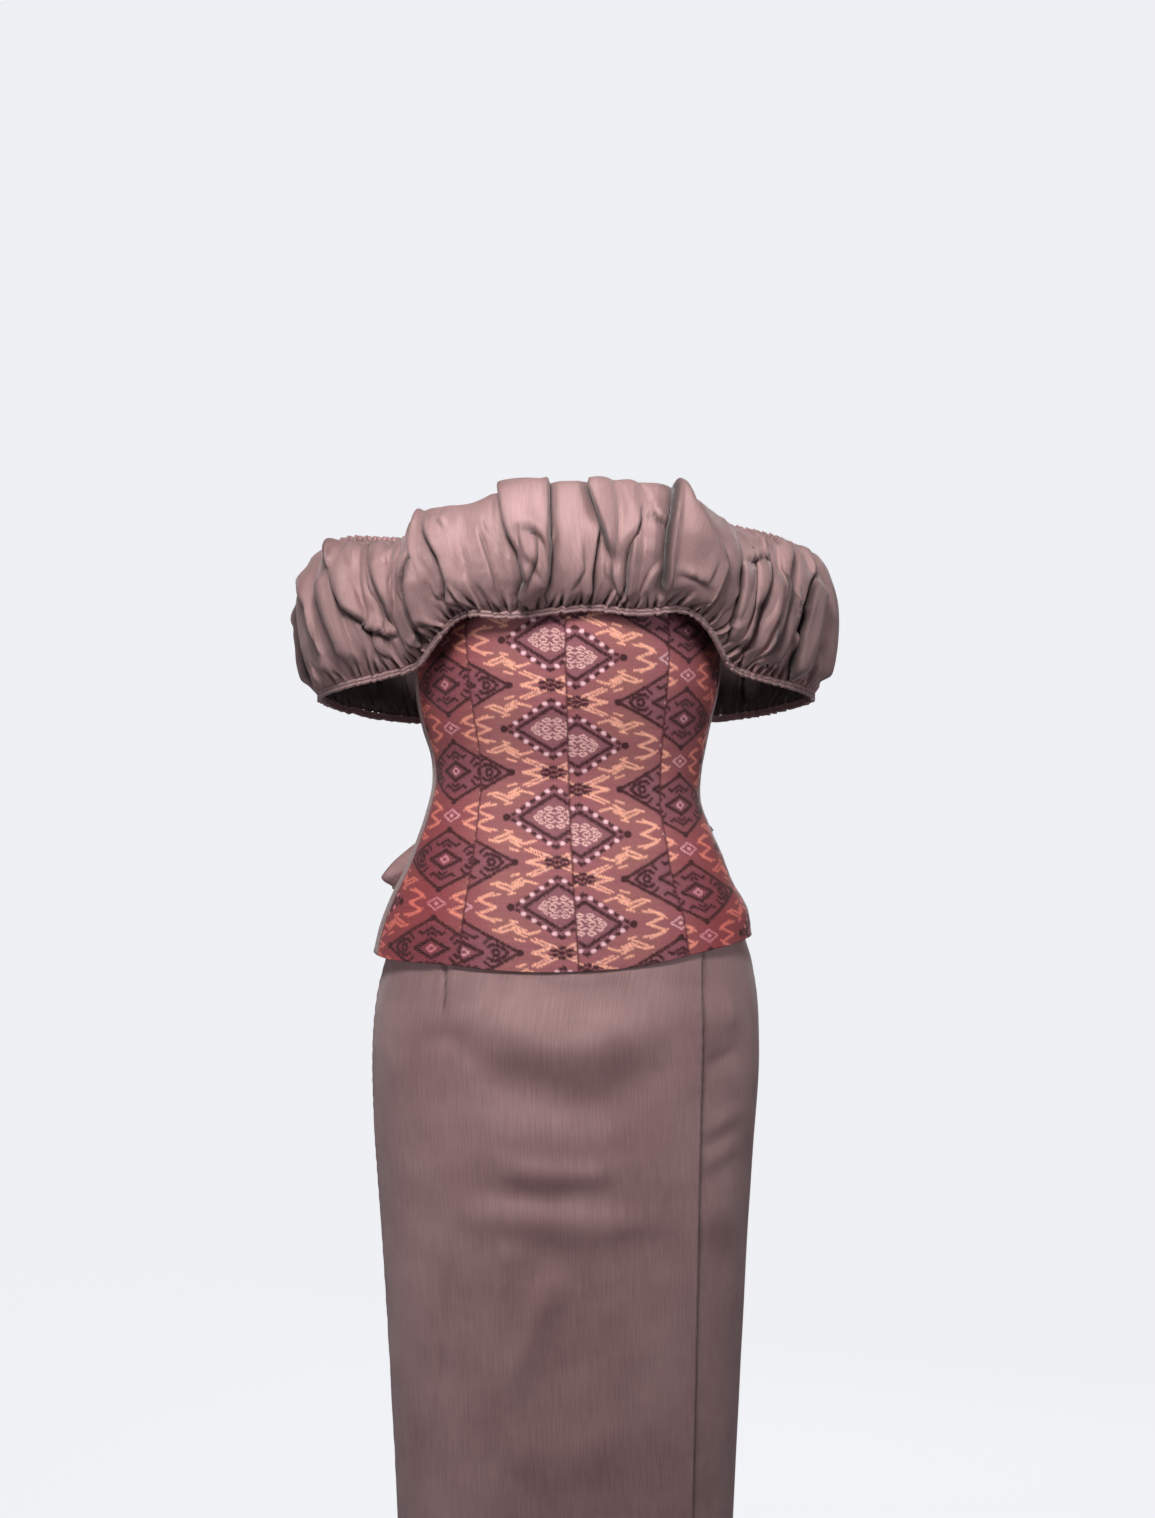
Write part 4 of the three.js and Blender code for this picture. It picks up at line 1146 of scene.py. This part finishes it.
def band(name, path, section, puckers):
    """A closed band of constant section along a ring. The section is in metres, out and up."""
    ahead = np.roll(path, -1, axis=0) - np.roll(path, 1, axis=0)
    out = unit(np.cross(ahead, (0, 0, 1)))
    section = np.array(section)
    points = path[:, None] + out[:, None] * section[:, :1] + np.array((0, 0, 1)) * section[:, 1:]
    points = points + out[:, None] * puckers[:, None, None]
    number = np.arange(points[..., 0].size).reshape(points.shape[:2])
    following = np.roll(number, -1, axis=0)
    corners = [number, following, np.roll(following, -1, axis=1), np.roll(number, -1, axis=1)]
    piece = new_mesh(name, points.reshape(-1, 3), np.stack(corners, axis=-1).reshape(-1, 4).tolist())
    along = run_length(path[None], 1)[0]
    around = np.arange(len(section)) * SECTION_STEP
    cut = np.stack(np.broadcast_arrays(along[:, None], around[None]), axis=-1)
    map_cut(piece, cut.reshape(-1, 2))
    wall = piece.modifiers.new("wall", "SOLIDIFY")
    wall.thickness = BAND_WALL
    select_only(piece)
    bpy.ops.object.modifier_apply(modifier=wall.name)
    return piece


def oval(middle, reach, points):
    turn = np.arange(points) / points * 2 * math.pi
    return [(middle[0] + reach[0] * math.cos(a), middle[1] + reach[1] * math.sin(a)) for a in turn]


def two_rolls(middle, radius, points):
    """The outline of two round rolls, one above the other."""
    outline = []
    for turn in np.arange(points) / points * 2 * math.pi:
        swell = radius * (1.35 - 0.65 * math.cos(2 * turn))
        outline.append((middle[0] + swell * math.cos(turn) * 1.35, middle[1] + swell * math.sin(turn)))
    return outline


top_path = ring[0, :-1:BAND_COLUMNS]
foot_path = ring[-1, :-1:BAND_COLUMNS]
elastic = 0.0006 * wavering(run_length(top_path[None], 1)[0], 0.0052, 2, 0.03)
section = oval(middle=(-0.002, 0.0017), reach=(0.0012, 0.0032), points=10)
casing = band("ruffle_casing_band", top_path, section, elastic)
wear(casing, SATIN, "satin", "ruffle_top_casing")

drawn_in = 0.0004 * wavering(run_length(foot_path[None], 1)[0], 0.0061, 2, 0.023)
section = two_rolls(middle=(0.0002, -0.0030), radius=0.0017, points=18)
binding = band("ruffle_binding_band", foot_path, section, drawn_in)
corner = np.arange(len(section))
from_groove = np.minimum(corner, len(section) - corner)
# Painted shade in the stitched groove between the two rolls.
add_crease_shade(binding, np.tile(0.85 * bell(from_groove, 0.9), (len(foot_path), 1)))
wear(binding, SATIN, "satin", "ruffle_hem_binding")

# ---------------------------------------------------------------- bow
# Two loops of the satin at the back of the waist, gathered at their inner ends and held together
# by a knot, which is a narrow strip wrapped round them.

LOOP_FINE = (12, 8)                # points to each of the solid's, down and across
LOOP_GATHERS = 4.2                 # across a loop, beside the knot
GATHER_DEPTH = 0.0042
GATHER_REACH = 0.028               # over which the gathers fade out from the knot
WAVE_DEPTH = 0.0022                # of the slack waves beyond them
KNOT_CLOTH = 0.002
KNOT_FILL = 0.98                   # share of its solid's box that the knot fills

for name in ("bow_loop_right", "bow_loop_left"):
    outer = fine_panel(name, *LOOP_FINE)
    from_knot = np.minimum(run_length(outer, 1), run_back(outer))
    width = np.linspace(0, 1, outer.shape[0])[:, None]
    gathers = np.abs(np.sin(math.pi * (LOOP_GATHERS * width + 0.25 * np.sin(from_knot / 0.02)))) - 0.6
    rise = GATHER_DEPTH * gathers * np.exp(-from_knot / GATHER_REACH) * np.sin(math.pi * width) ** 0.5
    rise += WAVE_DEPTH * np.sin(2 * math.pi * (1.3 * width + from_knot / 0.09))
    outer = lifted(outer, rise * np.clip(from_knot / 0.006, 0.2, 1))
    piece = cloth_shell(name + "_cloth", outer, SATIN_CLOTH, 2)
    wear(piece, SATIN, "satin", name)

knot_low, knot_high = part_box("bow_knot")
middle = (np.array(knot_low) + np.array(knot_high)) / 2
reach = (np.array(knot_high) - np.array(knot_low)) / 2
turns = np.linspace(0, 2 * math.pi, 49)[:, None]
spread = np.linspace(-1, 1, 33)[None]
# Fullest in the middle of its width, with shallow folds round it.
swell = 0.84 + 0.12 * np.cos(spread * math.pi / 2) + 0.04 * np.cos(spread * math.pi * 3)
knot_points = np.stack(
    np.broadcast_arrays(
        middle[0] + reach[0] * KNOT_FILL * spread,
        middle[1] + reach[1] * KNOT_FILL * np.cos(turns) * swell,
        middle[2] + reach[2] * KNOT_FILL * np.sin(turns) * swell,
    ),
    axis=-1,
)
knot = cloth_shell("bow_knot_cloth", knot_points, KNOT_CLOTH)
wear(knot, SATIN, "satin", "bow_knot")

# ---------------------------------------------------------------- skirt
# A straight skirt of the same satin: an overlap whose free edge falls on the wearer's left, an
# underlap behind it, and two backs. A dart shapes the overlap on the wearer's right.

SKIRT_FLATS = {
    "skirt_front_overlap": (0.34, 0.94),
    "skirt_front_underlap": (0.22, 0.94),
    "skirt_back_right": (0.21, 0.94),
    "skirt_back_left": (0.21, 0.94),
}
# Soft ridges (above zero) and creases of the worn skirt, as lines across (X) and up (Z) in
# millimetres: height, half-width, and the line.
OVERLAP_RIDGES = [
    (2.2, 26, [(-118, -196), (-60, -212), (0, -222), (60, -214), (112, -196)]),
    (-1.4, 22, [(-108, -232), (-60, -262), (10, -272), (80, -258)]),
    (-0.9, 10, [(-140, -222), (-112, -215), (-88, -222)]),
    (1.4, 9, [(-84, -322), (-50, -331), (10, -335), (48, -326)]),
    (-0.9, 7, [(-92, -345), (-30, -351), (40, -344)]),
    (1.3, 13, [(-132, -362), (-60, -371), (20, -378), (98, -368)]),
    (0.9, 8, [(-76, -398), (-50, -402), (-34, -398)]),
    (-0.8, 3, [(12, -386), (60, -388), (106, -385)]),
    (0.6, 4, [(12, -381), (60, -383), (106, -380)]),
    (-0.6, 3, [(58, -412), (104, -410)]),
    (1.5, 12, [(-10, -408), (-34, -450), (-58, -525)]),
    (-0.8, 5, [(-107, -408), (-110, -450), (-116, -535)]),
    (1.2, 20, [(-90, -560), (-20, -580), (60, -566)]),
    (1.0, 26, [(-100, -690), (0, -715), (80, -700)]),
    (-0.9, 24, [(-80, -790), (20, -800), (90, -780)]),
]
UNDERLAP_RIDGES = [
    (-1.3, 5, [(100, -318), (126, -309), (156, -298)]),
    (1.3, 6, [(100, -307), (126, -298), (156, -287)]),
    (-1.3, 5, [(100, -341), (126, -336), (152, -323)]),
    (1.3, 6, [(100, -330), (126, -325), (152, -312)]),
    (-1.0, 5, [(108, -247), (128, -240), (148, -232)]),
    (1.2, 18, [(100, -205), (150, -196)]),
    (1.0, 16, [(100, -380), (150, -372)]),
    (0.8, 24, [(95, -560), (150, -552)]),
]
BACK_RIDGES = [
    (2.0, 24, [(-140, -196), (-70, -208), (0, -204), (70, -210), (140, -196)]),
    (-1.2, 20, [(-120, -250), (-40, -262), (40, -258), (120, -248)]),
    (1.3, 12, [(-130, -318), (-60, -330), (30, -326), (110, -318)]),
    (-0.8, 8, [(-120, -346), (-40, -352), (70, -346)]),
    (1.1, 14, [(-110, -372), (0, -380), (100, -370)]),
    (1.2, 12, [(40, -410), (56, -470), (62, -540)]),
    (-0.7, 5, [(-70, -420), (-74, -520)]),
    (1.0, 24, [(-110, -600), (0, -612), (110, -596)]),
    (-0.8, 24, [(-100, -760), (0, -770), (100, -756)]),
]
RIDGE_DEPTH = 0.0032               # of a ridge above that is 1 high, in metres
SEAM_HOLD = 0.016                  # how far from a seam the cloth is held by it
SKIRT_CLOTH = 0.0014
OVERLAP_FINE = (20, 10)            # points to each of the solid's, down and across
SKIRT_FINE = (16, 8)               # the same for the other three
UNDER_DEPTH = 0.0024               # how far the underlap lies in where the overlap covers it
BROAD_RIPPLE = 0.0012              # height of the slack in the cloth
SMALL_RIPPLE = 0.0004
DART_GROOVE = 0.0014               # how far the dart's stitching pulls the cloth in
DART_SWELL = 0.0009                # and how far it stands up on both sides
EDGE_PUCKER = 0.0003
EDGE_SHADE = 0.85                  # painted shadow: how dark the underlap is made right beside the free edge
DART = [(-112, -150), (-113, -176), (-115, -198)]


def line_distance(points, line):
    """How far points are from a line in the view from the front, and their share of its span."""
    corners = np.array(line) * FROM_MM
    nearest = np.full(points.shape[:2], 9.0)
    for start, step in zip(corners, np.diff(corners, axis=0)):
        length = np.hypot(*step)
        x, z = points[..., 0] - start[0], points[..., 2] - start[1]
        run = np.clip((x * step[0] + z * step[1]) / length, 0, length)
        gap = np.hypot(x - run * step[0] / length, z - run * step[1] / length)
        nearest = np.minimum(nearest, gap)
    span = corners[-1] - corners[0]
    from_start = points[..., ::2] - corners[0]
    return nearest, from_start @ span / (span @ span)


def raise_lines(points, lines, ends=0.3):
    """Adds soft ridges and creases that fade out towards both ends of their lines."""
    rise = np.zeros(points.shape[:2])
    for height, width, line in lines:
        away, place = line_distance(points, line)
        fade = np.clip(place / ends, 0, 1) * np.clip((1 - place) / ends, 0, 1)
        rise += height * RIDGE_DEPTH * bell(away, width * FROM_MM) * fade * fade * (3 - 2 * fade)
    return lifted(points, smoothed(rise, 3))


def held_at_seams(plain, worn, first, last):
    """The worn cloth, drawn back to its plain place beside the edges that are sewn."""
    away = run_length(plain, 1)
    held = np.ones(away.shape)
    if first:
        held = held * np.clip(away / SEAM_HOLD, 0, 1)
    if last:
        held = held * np.clip((away[:, -1:] - away) / SEAM_HOLD, 0, 1)
    return plain + (worn - plain) * (held * held * (3 - 2 * held))[..., None]


def dress_overlap(outer):
    """The overlap with its ridges, its stitched dart, and slight puckers beside its free edge, the
    painted shade along the dart's groove, and the points of the free edge."""
    outer = raise_lines(outer, OVERLAP_RIDGES)
    away, place = line_distance(outer, DART)
    sewn_part = np.clip((1 - place) / 0.25, 0, 1)
    stitched = -DART_GROOVE * bell(away, 0.0016) + DART_SWELL * bell(away - 0.006, 0.005)
    outer = lifted(outer, stitched * sewn_part)
    free_edge = outer[:, -1]
    puckers = EDGE_PUCKER * wavering(outer[..., 2], 0.013, 2, 0.05)
    outer = lifted(outer, puckers * np.exp(-run_back(outer) / 0.009))
    return outer, bell(away, 0.0011) * sewn_part * 0.6, free_edge


def dress_underlap(outer, free_edge):
    """The underlap with its ridges, sunk where the overlap covers it, and the painted shadow that
    the overlap's free edge casts beside it."""
    outer = raise_lines(raise_lines(outer, OVERLAP_RIDGES), UNDERLAP_RIDGES)
    beside = outer[..., 0] - np.interp(-outer[..., 2], -free_edge[:, 2], free_edge[:, 0])
    covered = np.clip((0.003 - beside) / 0.006, 0, 1)
    outer = lifted(outer, -UNDER_DEPTH * covered)
    return outer, EDGE_SHADE * np.exp(-np.maximum(beside, 0) / 0.0022)


for seed, (name, flat) in enumerate(SKIRT_FLATS.items()):
    overlap = name == "skirt_front_overlap"
    underlap = name == "skirt_front_underlap"
    plain = fine_panel(name, *(OVERLAP_FINE if overlap else SKIRT_FINE))
    draw = np.random.default_rng(40 + seed)
    calm = np.sin(np.linspace(0, math.pi, plain.shape[0]))[:, None] ** 0.5
    broad = BROAD_RIPPLE * uneven(plain.shape[:2], (9, 4), draw)
    small = SMALL_RIPPLE * uneven(plain.shape[:2], (40, 9), draw)
    outer = lifted(plain, (broad + small) * calm)
    if overlap:
        outer, painted_shade, free_edge = dress_overlap(outer)
    elif underlap:
        outer, painted_shade = dress_underlap(outer, free_edge)
    else:
        outer = raise_lines(outer, BACK_RIDGES)
    sewn_sides = (not underlap, not overlap)
    outer = held_at_seams(plain, outer, *sewn_sides)
    outer = meet(sewn_edges(outer, 0.0006, 0.0004, *sewn_sides), *sewn_sides)
    piece = cloth_shell(name + "_cloth", outer, SKIRT_CLOTH, 2)
    if overlap or underlap:
        add_crease_shade(piece, painted_shade)
    wear(piece, SATIN, "satin", name)

# ---------------------------------------------------------------- skirt waistband
# A narrow band of satin at the top of the skirt, under the blouse: a strip folded in two and
# sewn on all round. Its outer side is put in order as rows from the top down.

BELT_FINE = (12, 6)                # points to each of the solid's, down and around
BELT_UNEVEN = 0.0004

copy = merged_copy("skirt_waistband")
outside = set()
for face in copy.data.polygons:
    x, y = face.center.x, face.center.y
    if face.normal.x * x + face.normal.y * y > 0.5 * math.hypot(x, y):
        outside.update(face.vertices)
corners = np.array([copy.data.vertices[number].co for number in sorted(outside)])
bpy.data.meshes.remove(copy.data)
rows = len(np.unique(np.round(corners[:, 2], 4)))
belt = corners[np.argsort(-corners[:, 2])].reshape(rows, -1, 3)
turns = np.argsort(np.arctan2(belt[..., 1], belt[..., 0]), axis=1)
belt = np.take_along_axis(belt, turns[..., None], axis=1)
belt = finer(finer_ring(belt, BELT_FINE[1]), BELT_FINE[0], 0)
belt = lifted(belt, BELT_UNEVEN * uneven(belt.shape[:2], (2, 40), draw))
piece = cloth_shell("skirt_waistband_cloth", belt, SATIN_CLOTH, 2)
wear(piece, SATIN, "satin", "skirt_waistband")
